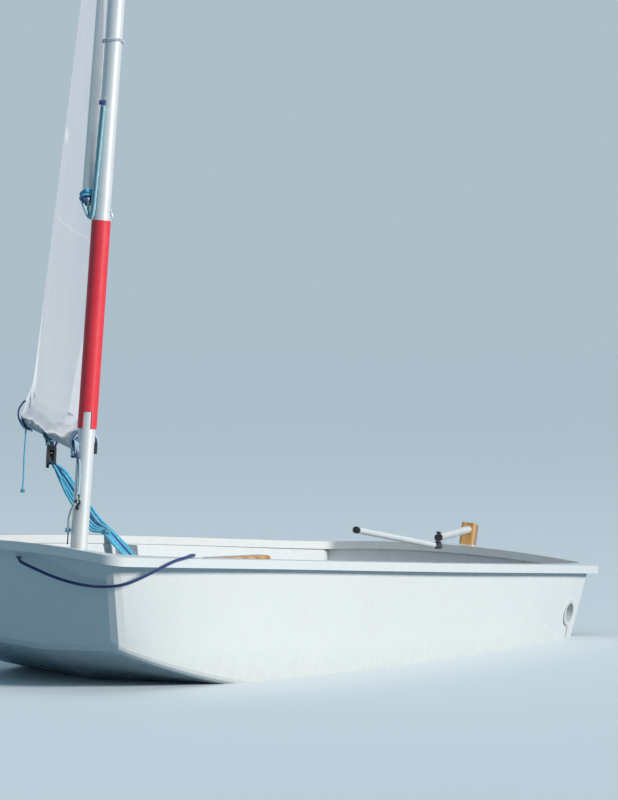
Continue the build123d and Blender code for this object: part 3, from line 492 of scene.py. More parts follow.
# -------- painter, the bow line
PAINTER_D = 0.008
PAINTER_POINTS = (
    (1.1166, 0.0, 0.3160), (1.1570, 0.004, 0.3030), (1.153, 0.056, 0.286), (1.142, 0.110, 0.267),
    (1.127, 0.164, 0.254), (1.122, 0.219, 0.250), (1.123, 0.272, 0.253), (1.115, 0.316, 0.262),
    (1.082, 0.345, 0.282), (1.044, 0.374, 0.307), (1.004, 0.392, 0.327), (0.956, 0.402, 0.335),
    (0.914, 0.388, 0.336), (0.886, 0.352, 0.332), (0.873, 0.298, 0.303), (0.868, 0.270, 0.2918),
)
COIL_AT = Vector((0.868, 0.196, 0.28751))
COIL_RINGS = (0.0560, 0.0480, 0.0400, 0.0320)
COIL_LAYERS = 3
TURN_POINTS = 14
COIL_LIFT = 0.0042
COIL_CLIMB_FROM = 0.75
COIL_END = (
    # the last part turn: angle back from the last ring's end, radius, height over the coil's foot
    (0.0, 0.0275, 0.0195), (0.7, 0.0240, 0.0160), (1.4, 0.0205, 0.0125), (2.1, 0.0175, 0.0110),
)
painter_points = [Vector(p) for p in PAINTER_POINTS]


def on_coil(angle, radius, lift):
    return COIL_AT + Vector((radius * math.cos(angle), radius * math.sin(angle), lift))


for layer in range(COIL_LAYERS):
    rings = COIL_RINGS if layer % 2 == 0 else COIL_RINGS[::-1]
    for k, r in enumerate(rings):
        for i in range(TURN_POINTS):
            share = i / TURN_POINTS
            climb = max(0.0, share - COIL_CLIMB_FROM) / (1 - COIL_CLIMB_FROM)
            to = rings[k + 1] if k + 1 < len(rings) else r
            lift = COIL_LIFT + PAINTER_D * layer
            if k + 1 == len(rings) and layer + 1 < COIL_LAYERS:
                lift += PAINTER_D * climb
            painter_points.append(on_coil(math.pi / 2 - 2 * math.pi * share, r + (to - r) * climb, lift))
for back, radius, lift in COIL_END:
    painter_points.append(on_coil(math.pi / 2 - back, radius, lift))
curve = bpy.data.curves.new("painter", "CURVE")
curve.dimensions = "3D"
curve.bevel_depth = PAINTER_D / 2
curve.bevel_resolution = 3
curve.resolution_u = 4
spline = curve.splines.new("NURBS")
spline.points.add(len(painter_points) - 1)
for sp, p in zip(spline.points, painter_points):
    sp.co = (*p, 1.0)
spline.order_u = 3
spline.use_endpoint_u = True
curve.use_fill_caps = True
curve.materials.append(NAVY)
painter = bpy.data.objects.new("painter", curve)
bpy.context.collection.objects.link(painter)
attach(painter, "hull")
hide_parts("painter_line", "painter_coil")

# -------- sail
TACK = Vector((0.8372, -0.0160, 0.6286))
CLEW = Vector((-0.6570, -1.2272, 0.636))
PEAK = Vector((0.030, -0.517, 3.157))
THROAT = Vector((0.7766, -0.0160, 2.3626))
FOOT_W = (CLEW - TACK).length
HEAD_W = (PEAK - THROAT).length
sprit_flat = ((SPRIT_PEAK - SPRIT_HEEL).dot(BOOM_DIR), (SPRIT_PEAK - SPRIT_HEEL).z)
sprit_run = math.hypot(*sprit_flat)
sprit_unit = (sprit_flat[0] / sprit_run, sprit_flat[1] / sprit_run)
FOOT_FOLD = (
    # height above the foot, out to leeward, down; metres
    (0.000, 0.000, 0.000), (0.010, 0.015, 0.019), (0.022, 0.030, 0.044), (0.034, 0.040, 0.060),
    (0.046, 0.042, 0.066), (0.058, 0.033, 0.067), (0.072, 0.018, 0.066), (0.092, 0.009, 0.058),
    (0.125, 0.005, 0.040), (0.175, 0.003, 0.020), (0.250, 0.001, 0.005), (0.340, 0.000, 0.000),
    (9.000, 0.000, 0.000),
)
TIES = 7
# The cloth's height up the luff, and how much more it is up the leech
LUFF_RISE, LEECH_MORE = 1.735, 0.78
# Fullness as a share of the chord, how far forward it lies, how soon it opens above the foot, what the head loses
CAMBER, CAMBER_FORE, FOOT_OPENS, HEAD_FLATTER = 0.034, 0.72, 0.06, 0.72
# Room between the cloth and the sprit at its heel and what is lost of it by the peak
SPRIT_ROOM, SPRIT_ROOM_LOST = 0.0262, 0.0245
# Half width of the pressed strip, slope of the cloth beside it and softness of its edge
PRESS_HALF, PRESS_SLOPE, PRESS_SOFT = 0.012, 0.42, 0.006
# Depth, width and waves a metre of the folds beside the sprit
FOLD_DEPTH, FOLD_REACH, FOLD_WAVES = 0.003, 0.05, 26
# Depth, number and reach of the ripples at the luff, and the cloth's own unevenness
LUFF_RIPPLE, LUFF_RIPPLES, LUFF_REACH, UNEVEN = 0.0035, 9.0, 0.07, 0.004
# How far the leech falls to leeward, its extra at the clew, and the hollow cut into it
LEECH_FALL, CLEW_FALL, LEECH_HOLLOW = 0.0095, 0.004, 0.012


def on_table(rows, h, column):
    """A column of a table at height h, eased between its rows."""
    for a, b in zip(rows, rows[1:]):
        if h <= b[0]:
            k = (h - a[0]) / (b[0] - a[0])
            k = k * k * (3 - 2 * k)
            return a[column] + (b[column] - a[column]) * k
    return rows[-1][column]


def sail_point(s, t):
    """The cloth at s from luff to leech and t from foot to head."""
    p = TACK.lerp(THROAT, t).lerp(CLEW.lerp(PEAK, t), s)
    h = t * (LUFF_RISE + LEECH_MORE * s)
    belly = math.sin(math.pi * s ** CAMBER_FORE)
    chord = FOOT_W + (HEAD_W - FOOT_W) * t
    open_up = 1.0 - math.exp(-t / FOOT_OPENS)
    deep = CAMBER * chord * belly * open_up * (1.0 - HEAD_FLATTER * t)
    rel = p - SPRIT_HEEL
    a, up_by = rel.dot(BOOM_DIR), rel.z
    r = min(1.0, max(0.0, (a * sprit_unit[0] + up_by * sprit_unit[1]) / sprit_run))
    off = abs(a * sprit_unit[1] - up_by * sprit_unit[0])
    limit = SPRIT_ROOM - SPRIT_ROOM_LOST * r + PRESS_SLOPE * max(0.0, off - PRESS_HALF)
    deep = -PRESS_SOFT * math.log(math.exp(-deep / PRESS_SOFT) + math.exp(-limit / PRESS_SOFT))
    fold = math.exp(-(off / FOLD_REACH) ** 2) * FOLD_DEPTH * math.sin(FOLD_WAVES * a)
    ripple = LUFF_RIPPLE * math.sin(2 * math.pi * t * LUFF_RIPPLES) * math.exp(-s / LUFF_REACH)
    ripple += UNEVEN * noise.noise(Vector((s * 3.1, t * 4.3, 0.4))) * belly
    edge = min(1.0, s / 0.02, (1 - s) / 0.01, (1 - t) / 0.01)
    along = min(1.0, (s + 0.004) / 0.08) ** 0.6 * min(1.0, (1.012 - s) / 0.14) ** 0.6
    scallop = 1.0 + 0.16 * noise.noise(Vector((s * 6.5, h * 9.0, 2.7))) + 0.02 * math.cos(2 * math.pi * s * TIES)
    out = on_table(FOOT_FOLD, h, 1) * along * scallop
    drop = on_table(FOOT_FOLD, h, 2) * along * scallop
    fall = LEECH_FALL * s ** 5 * min(1.0, h / 0.02) * min(1.0, (1 - t) / 0.10)
    fall += CLEW_FALL * s ** 9 * math.exp(-((h - 0.03) / 0.035) ** 2)
    p = p - BOOM_SIDE * (max(0.0, deep) + out + fall + (fold + ripple) * edge) - UP * drop
    return p - BOOM_DIR * (LEECH_HOLLOW * math.sin(math.pi * t)) * s * s


SAIL_S = 80
FOOT_ZONE, FOOT_ROWS, UPPER_ROWS = 0.11, 40, 84
SAIL_ROWS = [i / FOOT_ROWS * FOOT_ZONE for i in range(FOOT_ROWS)]
SAIL_ROWS += [FOOT_ZONE + (1 - FOOT_ZONE) * (i / UPPER_ROWS) for i in range(UPPER_ROWS + 1)]
verts = [sail_point(i / SAIL_S, t) for t in SAIL_ROWS for i in range(SAIL_S + 1)]
faces = []
for j in range(len(SAIL_ROWS) - 1):
    for i in range(SAIL_S):
        a = j * (SAIL_S + 1) + i
        faces.append((a, a + 1, a + SAIL_S + 2, a + SAIL_S + 1))
sail = add_mesh("sail_cloth", verts, faces, SAIL, "rig")
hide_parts("sail")

# Sections of a band: across in widths, up in lifts
FLAT_BAND = ((-0.5, 1.0), (0.5, 1.0))
RAISED_BAND = ((-0.5, 0.0001), (-0.40, 1.0), (0.40, 1.0), (0.5, 0.0001))
PATCH_LIFT, PATCH_PLY = 0.0018, 0.0004
PATCH_LAYERS = (1.0, 0.72, 0.45)
PATCH_STEPS = 10
CORNER_PATCHES = (
    # corner in (s, t) and how far the patch runs from it
    ("tack_patch", 0.004, 0.006, 0.16, 0.17), ("clew_patch", 0.996, 0.006, -0.17, 0.13),
    ("throat_patch", 0.004, 0.994, 0.24, -0.15), ("peak_patch", 0.996, 0.994, -0.24, -0.13),
)
SEAM_ROWS = (0.28, 0.52, 0.76)
BATTEN_ROWS = (0.33, 0.66)


def sail_normal(s, t):
    e = 0.004
    u = sail_point(min(1, s + e), t) - sail_point(max(0, s - e), t)
    v = sail_point(s, min(1, t + e)) - sail_point(s, max(0, t - e))
    return u.cross(v).normalized()


def sail_band(name, path, wide, lift, material, steps, flat=True):
    """A strip of cloth on the windward face of the sail along a path in (s, t)."""
    verts, faces = [], []
    shape = FLAT_BAND if flat else RAISED_BAND
    m = len(shape)
    for i in range(steps + 1):
        k = i / steps
        at = sail_point(*path(k))
        n = sail_normal(*path(k))
        run = (sail_point(*path(min(1.0, k + 0.01))) - sail_point(*path(max(0.0, k - 0.01)))).normalized()
        across = run.cross(n).normalized()
        for side, proud in shape:
            verts.append(at + across * (side * wide) + n * (proud * lift))
    for i in range(steps):
        for j in range(m - 1):
            a = i * m + j
            faces.append((a, a + 1, a + m + 1, a + m))
    return add_mesh(name, verts, faces, material, "rig", flat)


def sail_corner(name, corner_s, corner_t, ds, dt):
    """Stacked three-cornered patches at a corner of the sail."""
    verts, faces = [], []
    n = PATCH_STEPS
    for layer, size in enumerate(PATCH_LAYERS):
        lift = PATCH_LIFT + PATCH_PLY * (layer + 1)
        index = {}
        for i in range(n + 1):
            for j in range(n + 1 - i):
                s = corner_s + ds * size * i / n
                t = corner_t + dt * size * j / n
                index[i, j] = len(verts)
                verts.append(sail_point(s, t) + sail_normal(s, t) * lift)
        for i in range(n):
            for j in range(n - i):
                faces.append((index[i, j], index[i + 1, j], index[i, j + 1]))
                if i + j < n - 1:
                    faces.append((index[i + 1, j], index[i + 1, j + 1], index[i, j + 1]))
    return add_mesh(name, verts, faces, SAIL, "rig")


trim = [
    sail_band("luff_tape", lambda k: (0.008, 0.006 + 0.988 * k), 0.026, 0.0017, SAIL, 160),
    sail_band("leech_tape", lambda k: (0.9925, 0.004 + 0.992 * k), 0.020, 0.0014, SAIL, 160),
    sail_band("foot_tape", lambda k: (0.006 + 0.988 * k, 0.0065), 0.018, 0.0017, SAIL, 120),
    sail_band("head_tape", lambda k: (0.006 + 0.988 * k, 0.992), 0.022, 0.0014, SAIL, 60),
]
for row in SEAM_ROWS:
    def seam(k, row=row):
        return 0.03 + 0.958 * k, row - 0.045 * k

    trim.append(sail_band("seam_%d" % int(row * 100), seam, 0.005, 0.0019, PATCH, 120))
for row in BATTEN_ROWS:
    def batten(k, row=row):
        return 0.955 - 0.24 * k, row + 0.012 * k

    trim.append(sail_band("batten_%d" % int(row * 100), batten, 0.036, 0.0008, SAIL, 40, False))
trim += [sail_corner(*patch) for patch in CORNER_PATCHES]
# The trim lies too close over the cloth to shade it
for piece in trim:
    piece.visible_shadow = False
    piece.visible_diffuse = False

# -------- ties, lashings and running rigging
SPRIT_DIR = (SPRIT_PEAK - SPRIT_HEEL).normalized()
LUFF_TIE_HEIGHTS = (1.60, 1.80, 2.00, 2.18, 2.30)
LUFF_TIE_R, FOOT_TIE_R, FOOT_KNOT_R = 0.0016, 0.0011, 0.0014
FOOT_TIE_FIRST, FOOT_TIE_STEP = 0.16, 0.255
STROP_AT = 1.150
SNOTTER_R, SNOTTER_TURN_R = 0.0038, 0.0030
LASH_R, LASH_THIN_R = 0.0030, 0.0028
DOWNHAUL_R, DOWNHAUL_TAIL_R = 0.0042, 0.0034
OUT_TURN_R, OUT_R = 0.0024, 0.0026

# Ties along the luff above the sleeve and along the foot, clear of the mainsheet's strop
luff_ties = []
for i, high in enumerate(LUFF_TIE_HEIGHTS):
    centre = on_mast(high) + BOOM_DIR * 0.003
    ends = centre + BOOM_DIR * (MAST_R + 0.008) + BOOM_SIDE * 0.006
    luff_ties += [
        turns("tie_luff_%d" % i, centre, MAST_DIR, MAST_R + 0.0055, LUFF_TIE_R, 2.0, 0.0042, WHITE_CORD,
              0.002, i * 1.1),
        knot("tie_luff_knot_%d" % i, ends, BOOM_SIDE, 0.0042, LUFF_TIE_R, WHITE_CORD),
    ]
join("luff_ties", luff_ties)
foot_ties = []
for i in range(TIES):
    along = FOOT_TIE_FIRST + FOOT_TIE_STEP * i
    if abs(along - STROP_AT) < 0.04:
        along += 0.06
    centre = on_boom(along, 0, 0.004)
    ends = centre + BOOM_SIDE * (BOOM_R + 0.006) + UP * 0.008
    foot_ties += [
        turns("tie_foot_%d" % i, centre, BOOM_DIR, BOOM_R + 0.0022, FOOT_TIE_R, 2.0, 0.0026, WHITE_CORD,
              0.001, i * 0.9),
        knot("tie_foot_knot_%d" % i, ends, UP, 0.0036, FOOT_KNOT_R, WHITE_CORD),
    ]
join("foot_ties", foot_ties)


def by_heel(along, x=0.0, y=0.0, z=0.0):
    """A point beside the heel of the sprit."""
    return SPRIT_HEEL + SPRIT_DIR * along + Vector((x, y, z))


# Snotter: two parts from the eye on the mast down to the heel of the sprit
snotter_fore = mast_line((1.430, 0.0290, -6), (1.36, 0.0272, -16), (1.28, 0.0272, -22), (1.20, 0.0285, -28),
                         (1.150, 0.0300, -34), (1.141, 0.0330, -52))
snotter_fore += [by_heel(-0.012, 0.012, 0.002), by_heel(0.008) - BOOM_SIDE * 0.012]
snotter_aft = mast_line((1.430, 0.0290, 8), (1.36, 0.0275, 2), (1.28, 0.0275, -4), (1.20, 0.0280, -10),
                        (1.152, 0.0282, -16), (1.138, 0.0300, -30), (1.150, 0.0345, -52))
snotter_aft.append(by_heel(0.018, 0.012, 0.012))
snotter = join("snotter", [
    rope("snotter_a", snotter_fore, SNOTTER_R, PALE_TEAL),
    rope("snotter_b", snotter_aft, SNOTTER_R, PALE_TEAL),
    turns("snotter_heel", by_heel(0.022), SPRIT_DIR, SPRIT_R + SNOTTER_TURN_R, SNOTTER_TURN_R, 3.0, 0.0062, CYAN,
          0.002),
    knot("snotter_knot", by_heel(0.034, 0.016, 0.010, 0.002), SPRIT_DIR, 0.0066, SNOTTER_TURN_R, CYAN),
    knot("snotter_knot_low", by_heel(0.010, 0.020, 0.006), MAST_DIR, 0.0060, SNOTTER_TURN_R, NAVY),
    knot("snotter_knot_top", on_mast(1.438, 0.0310, -4), MAST_DIR, 0.0066, 0.0032, NAVY),
])

RIVET = (
    # height over the spar and radius
    (0.0002, 0.0056), (0.0016, 0.0056), (0.0020, 0.0046), (0.0034, 0.0022),
)


def saddle(name, along, angle, long, high, wire, material):
    """A small bent strap eye on the mast with a foot and a rivet at each end."""
    arch = []
    for k in range(13):
        a = math.pi * k / 12
        arch.append(on_mast(along + math.cos(a) * long / 2, MAST_R + 0.0008 + math.sin(a) * high, angle))
    parts = [add_mesh(name, *tube_geometry(arch, wire), material, "rig")]
    for side in (-1, 1):
        at = along + side * (long / 2 + 0.006)
        rows = [(on_mast(at, MAST_R + proud, angle), r) for proud, r in RIVET]
        parts.append(disc_stack(name + "_foot", rows, material, "rig"))
    return join(name, parts)


join("mast_eyes", [
    saddle("eye_snotter", 1.432, 2, 0.018, 0.009, 0.0016, STEEL),
    saddle("eye_side", 1.148, 118, 0.012, 0.0045, 0.0032, SPAR),
    saddle("eye_throat", 2.335, 180, 0.016, 0.008, 0.0016, STEEL),
])

# Lashing of the jaw, the downhaul and its tail
join("jaw_lashing", [
    turns("lash_pale", on_boom(0.090, -0.001, 0.014), BOOM_DIR, 0.0285, LASH_R, 4.0, 0.0062, PALE,
          0.004, 0.4, 0.0015, 1.12),
    turns("lash_second", on_boom(0.092, 0.0, 0.012), BOOM_DIR + UP * 0.08, 0.0335, LASH_THIN_R, 2.0, 0.0090, PALE,
          0.006, 1.9, 0.002, 1.05),
    turns("lash_navy", on_boom(0.080, 0.001, 0.004), BOOM_DIR, 0.0242, LASH_THIN_R, 3.0, 0.0060, NAVY,
          0.005, 1.4, 0.001, 1.05),
    turns("lash_jaw", on_boom(0.040, -0.001, 0.010), BOOM_DIR, 0.0350, LASH_R, 3.5, 0.0062, PALE,
          0.003, 0.9, 0.0012, 0.92),
    turns("lash_fore", on_boom(0.016, -0.0265, 0.000), BOOM_SIDE, 0.0330, LASH_THIN_R, 2.5, 0.0054, PALE,
          0.001, 0.6, 0.0, 0.62),
    knot("lash_knot", on_boom(0.076, -0.021, -0.002), BOOM_DIR, 0.0075, LASH_THIN_R, CYAN),
    rope("lash_drop", boom_line((0.078, -0.022, 0.004), (0.066, -0.024, -0.014), (0.040, -0.032, -0.026))
         + mast_line((0.520, 0.0290, -10), (0.500, 0.0285, 2)), LASH_R, NAVY),
    rope("downhaul", mast_line((0.516, 0.0290, 0), (0.490, 0.0272, 1), (0.455, 0.0272, 3), (0.425, 0.0290, 6),
                               (0.412, 0.0345, 10)), DOWNHAUL_R, SAGE),
    rope("downhaul_return", mast_line((0.508, 0.0300, 8), (0.470, 0.0275, 11), (0.430, 0.0285, 13),
                                      (0.402, 0.0320, 14)), LASH_THIN_R, PALE),
    turns("downhaul_cleated", on_mast(0.405, MAST_R + 0.0048, 12), Vector((0.97, 0.2, 0)), 0.0095, 0.0024, 2.5,
          0.0030, SAGE, 0.0, 0.6),
    rope("downhaul_tail", mast_line((0.402, 0.0330, 6), (0.385, 0.0350, -12), (0.362, 0.0330, -34),
                                    (0.345, 0.0310, -44), (0.332, 0.0305, -48)), DOWNHAUL_TAIL_R, SAGE),
    knot("downhaul_end", on_mast(0.331, 0.0320, -48), MAST_DIR, 0.0058, LASH_THIN_R, TEAL),
    rope("downhaul_fray", mast_line((0.328, 0.0305, -49), (0.312, 0.0300, -52), (0.294, 0.0300, -55)), 0.0018,
         NAVY, 6),
])

# Outhaul at the clew with its hanging tail
clew_eye = sail_point(0.985, 0.008)
join("outhaul", [
    turns("out_loops", on_boom(2.016, -0.002, 0.002), BOOM_DIR, BOOM_R + 0.0062, OUT_TURN_R, 3.0, 0.0054, PALE,
          0.006, 0.3, 0.002),
    turns("out_navy", on_boom(1.992, 0.0, 0.004), BOOM_DIR + UP * 0.2, BOOM_R + 0.0080, OUT_TURN_R, 1.5, 0.0054, NAVY,
          0.010, 2.0, 0.002),
    rope("out_bight", [clew_eye] + boom_line((1.985, -0.026, 0.062), (2.020, -0.040, 0.034), (2.040, -0.036, 0.004),
                                             (2.030, -0.018, -0.018), (2.012, 0.004, -0.029)), OUT_R, NAVY),
    rope("out_lead", [clew_eye] + boom_line((1.975, -0.010, 0.052), (2.036, -0.006, 0.038), (2.050, -0.024, 0.018),
                                            (2.046, -0.030, -0.006), (2.026, -0.020, -0.022)), OUT_R, PALE),
    knot("out_knot", on_boom(2.034, -0.018, -0.012), UP, 0.0064, OUT_R, NAVY),
    rope("out_tail", boom_line((2.034, -0.015, -0.014), (2.032, -0.0145, -0.050), (2.028, -0.0160, -0.110),
                               (2.024, -0.0150, -0.165), (2.021, -0.0165, -0.210)), OUT_TURN_R, CYAN),
    knot("out_stop", on_boom(2.021, -0.0165, -0.214), UP, 0.0058, OUT_R, TEAL),
    ring("clew_grommet", clew_eye, BOOM_SIDE, 0.0095, 0.0026, STEEL),
])

# Mainsheet: parts between the block under the boom and the block on the floor
SHEAVE_HIGH = Vector((-0.0352, -0.7242, 0.506))
SHEAVE_LOW = Vector((-0.130, 0.0, -0.035))
SHEET_SHARES = (0.06, 0.11, 0.19, 0.235, 0.29, 0.36, 0.48, 0.66, 0.85)
SHEET_DOWN = (
    # at each share of the way, the least and the most that a part hangs below the straight line
    (-0.002, 0.030), (0.008, 0.046), (0.026, 0.062), (0.034, 0.066), (0.033, 0.040),
    (0.036, 0.050), (0.042, 0.062), (0.038, 0.055), (0.018, 0.028),
)
SHEET_FORE = (0.006, 0.014, 0.026, 0.030, 0.032, 0.032, 0.026, 0.016, 0.006)
SHEET_R, SHEET_STEP = 0.0042, 0.009
SPREAD_HIGH, SPREAD_LOW = 0.020, 0.010
SHEET_PARTS = (
    # place in the bundle from top to bottom, twist and colour
    (0.00, 0.0, CYAN), (0.22, 1.1, CYAN), (0.42, 2.0, NAVY), (0.58, 3.1, CYAN), (0.80, 4.2, CYAN), (1.00, 5.0, CYAN),
)
parts = []
for i, (place, twist, material) in enumerate(SHEET_PARTS):
    way = 1 if i % 2 else -1
    row = i % 3 - 1
    path = [SHEAVE_HIGH + BOOM_DIR * (0.012 * way) + BOOM_SIDE * (0.004 * row) - UP * 0.004]
    for k, (share, (least, most), fore) in enumerate(zip(SHEET_SHARES, SHEET_DOWN, SHEET_FORE)):
        spread = SPREAD_HIGH * math.sin(2 * math.pi * share) if share < 0.5 else SPREAD_LOW * (1 - share)
        down = least + (most - least) * place + 0.0012 * math.sin(twist + 2.1 * k)
        path.append(SHEAVE_HIGH.lerp(SHEAVE_LOW, share) + Vector((fore + spread * (2 * place - 1), 0, -down)))
    path.append(SHEAVE_LOW + Vector((0.010 * way, 0.003 * row, 0.006)))
    geometry = tube_geometry(smooth_path(path, SHEET_STEP), SHEET_R, CORD_SIDES, False, SHEET_LAY, STRAND_RELIEF)
    parts.append(add_mesh("mainsheet_%d" % i, *geometry, material, None))
# The sheet passes over the starboard rail, and a knot sits on it there
SHEET_OVER_RAIL = SHEAVE_HIGH.lerp(SHEAVE_LOW, 0.30)
parts.append(knot("mainsheet_knot", SHEET_OVER_RAIL + Vector((0.048, 0, -0.030)), UP, 0.0070, 0.0036, TEAL, None))
mainsheet = join("mainsheet", parts)
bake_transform(mainsheet)
join("mainsheet_strop", [
    turns("strop_boom", on_boom(STROP_AT), BOOM_DIR, BOOM_R + 0.0060, 0.0034, 2.0, 0.0080, TEAL, 0.003, 0.5),
    rope("strop_link", boom_line((STROP_AT, -0.018, -0.020), (STROP_AT, -0.012, -0.036), (STROP_AT, 0.0, -0.052),
                                 (STROP_AT, 0.012, -0.036), (STROP_AT, 0.018, -0.020)), 0.0034, NAVY),
    knot("strop_knot", on_boom(STROP_AT, -0.010, -0.034), UP, 0.0070, 0.0030, TEAL),
    knot("sheet_becket", SHEAVE_HIGH + UP * 0.026, BOOM_DIR, 0.0090, 0.0036, NAVY),
])

# -------- buoyancy bags
BAG_ROWS = (
    # the middle line's ends in metres, and where along it the straps go round
    ("bag_port", (-0.166, 0.377, 0.042), (-1.000, 0.357, 0.090), (0.22, 0.50, 0.78)),
    ("bag_starboard", (-0.166, -0.377, 0.042), (-1.000, -0.357, 0.090), (0.22, 0.50, 0.78)),
    ("bag_bow", (0.968, 0.214, 0.140), (0.968, -0.214, 0.140), (0.22, 0.78)),
)
BAG_RINGS = 110
BAG_ROUND = 44
BAG_FILL, BAG_SLACK = 0.985, 0.012
CREASE_DEPTH, CREASE_LENGTH = 0.045, 0.045
BAND_POINTS = 48
BAND_WIDE, BAND_THICK = 0.025, 0.0016
BAND_NIP, BAND_NIP_LENGTH = 0.060, 0.024
WELD_SHARES, WELD_R = (0.016, 0.984), 0.0016
VALVE_SHARE = 0.40
VALVE = (
    # height over the skin and radius
    (-0.001, 0.017), (0.0008, 0.0165), (0.0016, 0.011), (0.0070, 0.0075), (0.0085, 0.0060),
)
RIBBON_SHAPE = (
    # across in widths, up in thicknesses
    (-0.5, 0.2), (-0.47, 1.0), (-0.2, 0.86), (0.2, 0.86), (0.47, 1.0), (0.5, 0.2), (0.47, -0.2), (-0.47, -0.2),
)
bag_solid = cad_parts["buoyancy_bags"].data
bag_tree = BVHTree.FromPolygons([v.co.copy() for v in bag_solid.vertices],
                                [tuple(p.vertices) for p in bag_solid.polygons])


def bag_reach(centre, way):
    """How far the skin may go from the bag's middle line, just inside the solid."""
    hit = bag_tree.ray_cast(centre, way, 0.3)
    return hit[3] - 0.0015 if hit[0] is not None else 0.02


def ribbon(name, path, normals, wide, thick):
    """A flat webbing band in the hull with rolled edges along a path."""
    verts = []
    for p, n, t in zip(path, normals, frames_along(path)[0]):
        across = t.cross(n).normalized()
        for x, y in RIBBON_SHAPE:
            verts.append(p + across * (x * wide) + n * (y * thick))
    return add_mesh(name, verts, ring_faces(len(path), len(RIBBON_SHAPE)), WEBBING, "hull")


bags, bag_trim = [], []
for bag_name, a, b, bands in BAG_ROWS:
    a, b = Vector(a), Vector(b)
    long = (b - a).length
    axis = (b - a).normalized()
    u = axis.cross(UP).normalized()
    w = u.cross(axis).normalized()

    def bag_point(s, th, a=a, b=b, u=u, w=w, long=long, bands=bands):
        """The skin: full in the middle, flat in the welded ends, nipped in by each band."""
        centre = a.lerp(b, s)
        end = min(s, 1 - s) * long
        far = abs(2 * s - 1)
        high = max(0.0, 1 - far ** 9) ** 0.5
        wide = 0.80 + 0.20 * max(0.0, 1 - far ** 7) ** 0.6
        way = spoke(u, w, th).normalized()
        r = bag_reach(centre, way) * BAG_FILL
        flat = u * math.cos(th) * wide * r + w * math.sin(th) * high * r
        nip = 1.0
        for band in bands:
            nip -= BAND_NIP * math.exp(-((s - band) * long / BAND_NIP_LENGTH) ** 2)
        crease = CREASE_DEPTH * math.exp(-end / CREASE_LENGTH) * math.sin(9 * th + 1.3 * math.sin(3 * th))
        slack = BAG_SLACK * noise.noise(centre * 7.0 + way * 1.6)
        flat *= nip * (1.0 + crease * min(1.0, end / 0.012) + slack)
        if flat.length > 0.004:
            flat *= min(1.0, bag_reach(centre, flat.normalized()) / flat.length)
        return centre + flat

    verts, faces = [], []
    for i in range(BAG_RINGS + 1):
        s = 0.5 - 0.5 * math.cos(math.pi * i / BAG_RINGS)
        s = 0.004 + 0.992 * (0.35 * s + 0.65 * i / BAG_RINGS)
        for j in range(BAG_ROUND):
            verts.append(bag_point(s, 2 * math.pi * j / BAG_ROUND))
    for i in range(BAG_RINGS):
        for j in range(BAG_ROUND):
            k = (j + 1) % BAG_ROUND
            faces.append((i * BAG_ROUND + j, (i + 1) * BAG_ROUND + j, (i + 1) * BAG_ROUND + k, i * BAG_ROUND + k))
    faces.append(tuple(range(BAG_ROUND)))
    faces.append(tuple(BAG_RINGS * BAG_ROUND + j for j in range(BAG_ROUND))[::-1])
    bags.append(add_mesh(bag_name, verts, faces, VINYL, "hull"))
    for n, band in enumerate(bands):
        path, normals = [], []
        for j in range(BAND_POINTS + 1):
            p = bag_point(band, 2 * math.pi * j / BAND_POINTS)
            way = (p - a.lerp(b, band)).normalized()
            path.append(p + way * 0.0004)
            normals.append(way)
        bag_trim.append(ribbon("%s_band_%d" % (bag_name, n), path, normals, BAND_WIDE, BAND_THICK))
    for s in WELD_SHARES:
        seam = [bag_point(s, 2 * math.pi * j / BAND_POINTS) for j in range(BAND_POINTS)]
        bag_trim.append(add_mesh(bag_name + "_weld", *tube_geometry(seam, WELD_R, 6, True), VINYL, "hull"))
    inward = Vector((0, -a.y, 0)).normalized() if bag_name != "bag_bow" else Vector((-1, 0, 0.2)).normalized()
    aim = inward + UP * 0.9
    p = bag_point(VALVE_SHARE, math.atan2(aim.dot(w), aim.dot(u)))
    way = (p - a.lerp(b, VALVE_SHARE)).normalized()
    rows = [(p + way * proud, r) for proud, r in VALVE]
    bag_trim.append(disc_stack(bag_name + "_valve", rows, GREY, "hull", 20))
bags = join("buoyancy_bag_skins", bags)
join("buoyancy_bag_trim", bag_trim)
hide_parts("buoyancy_bags")

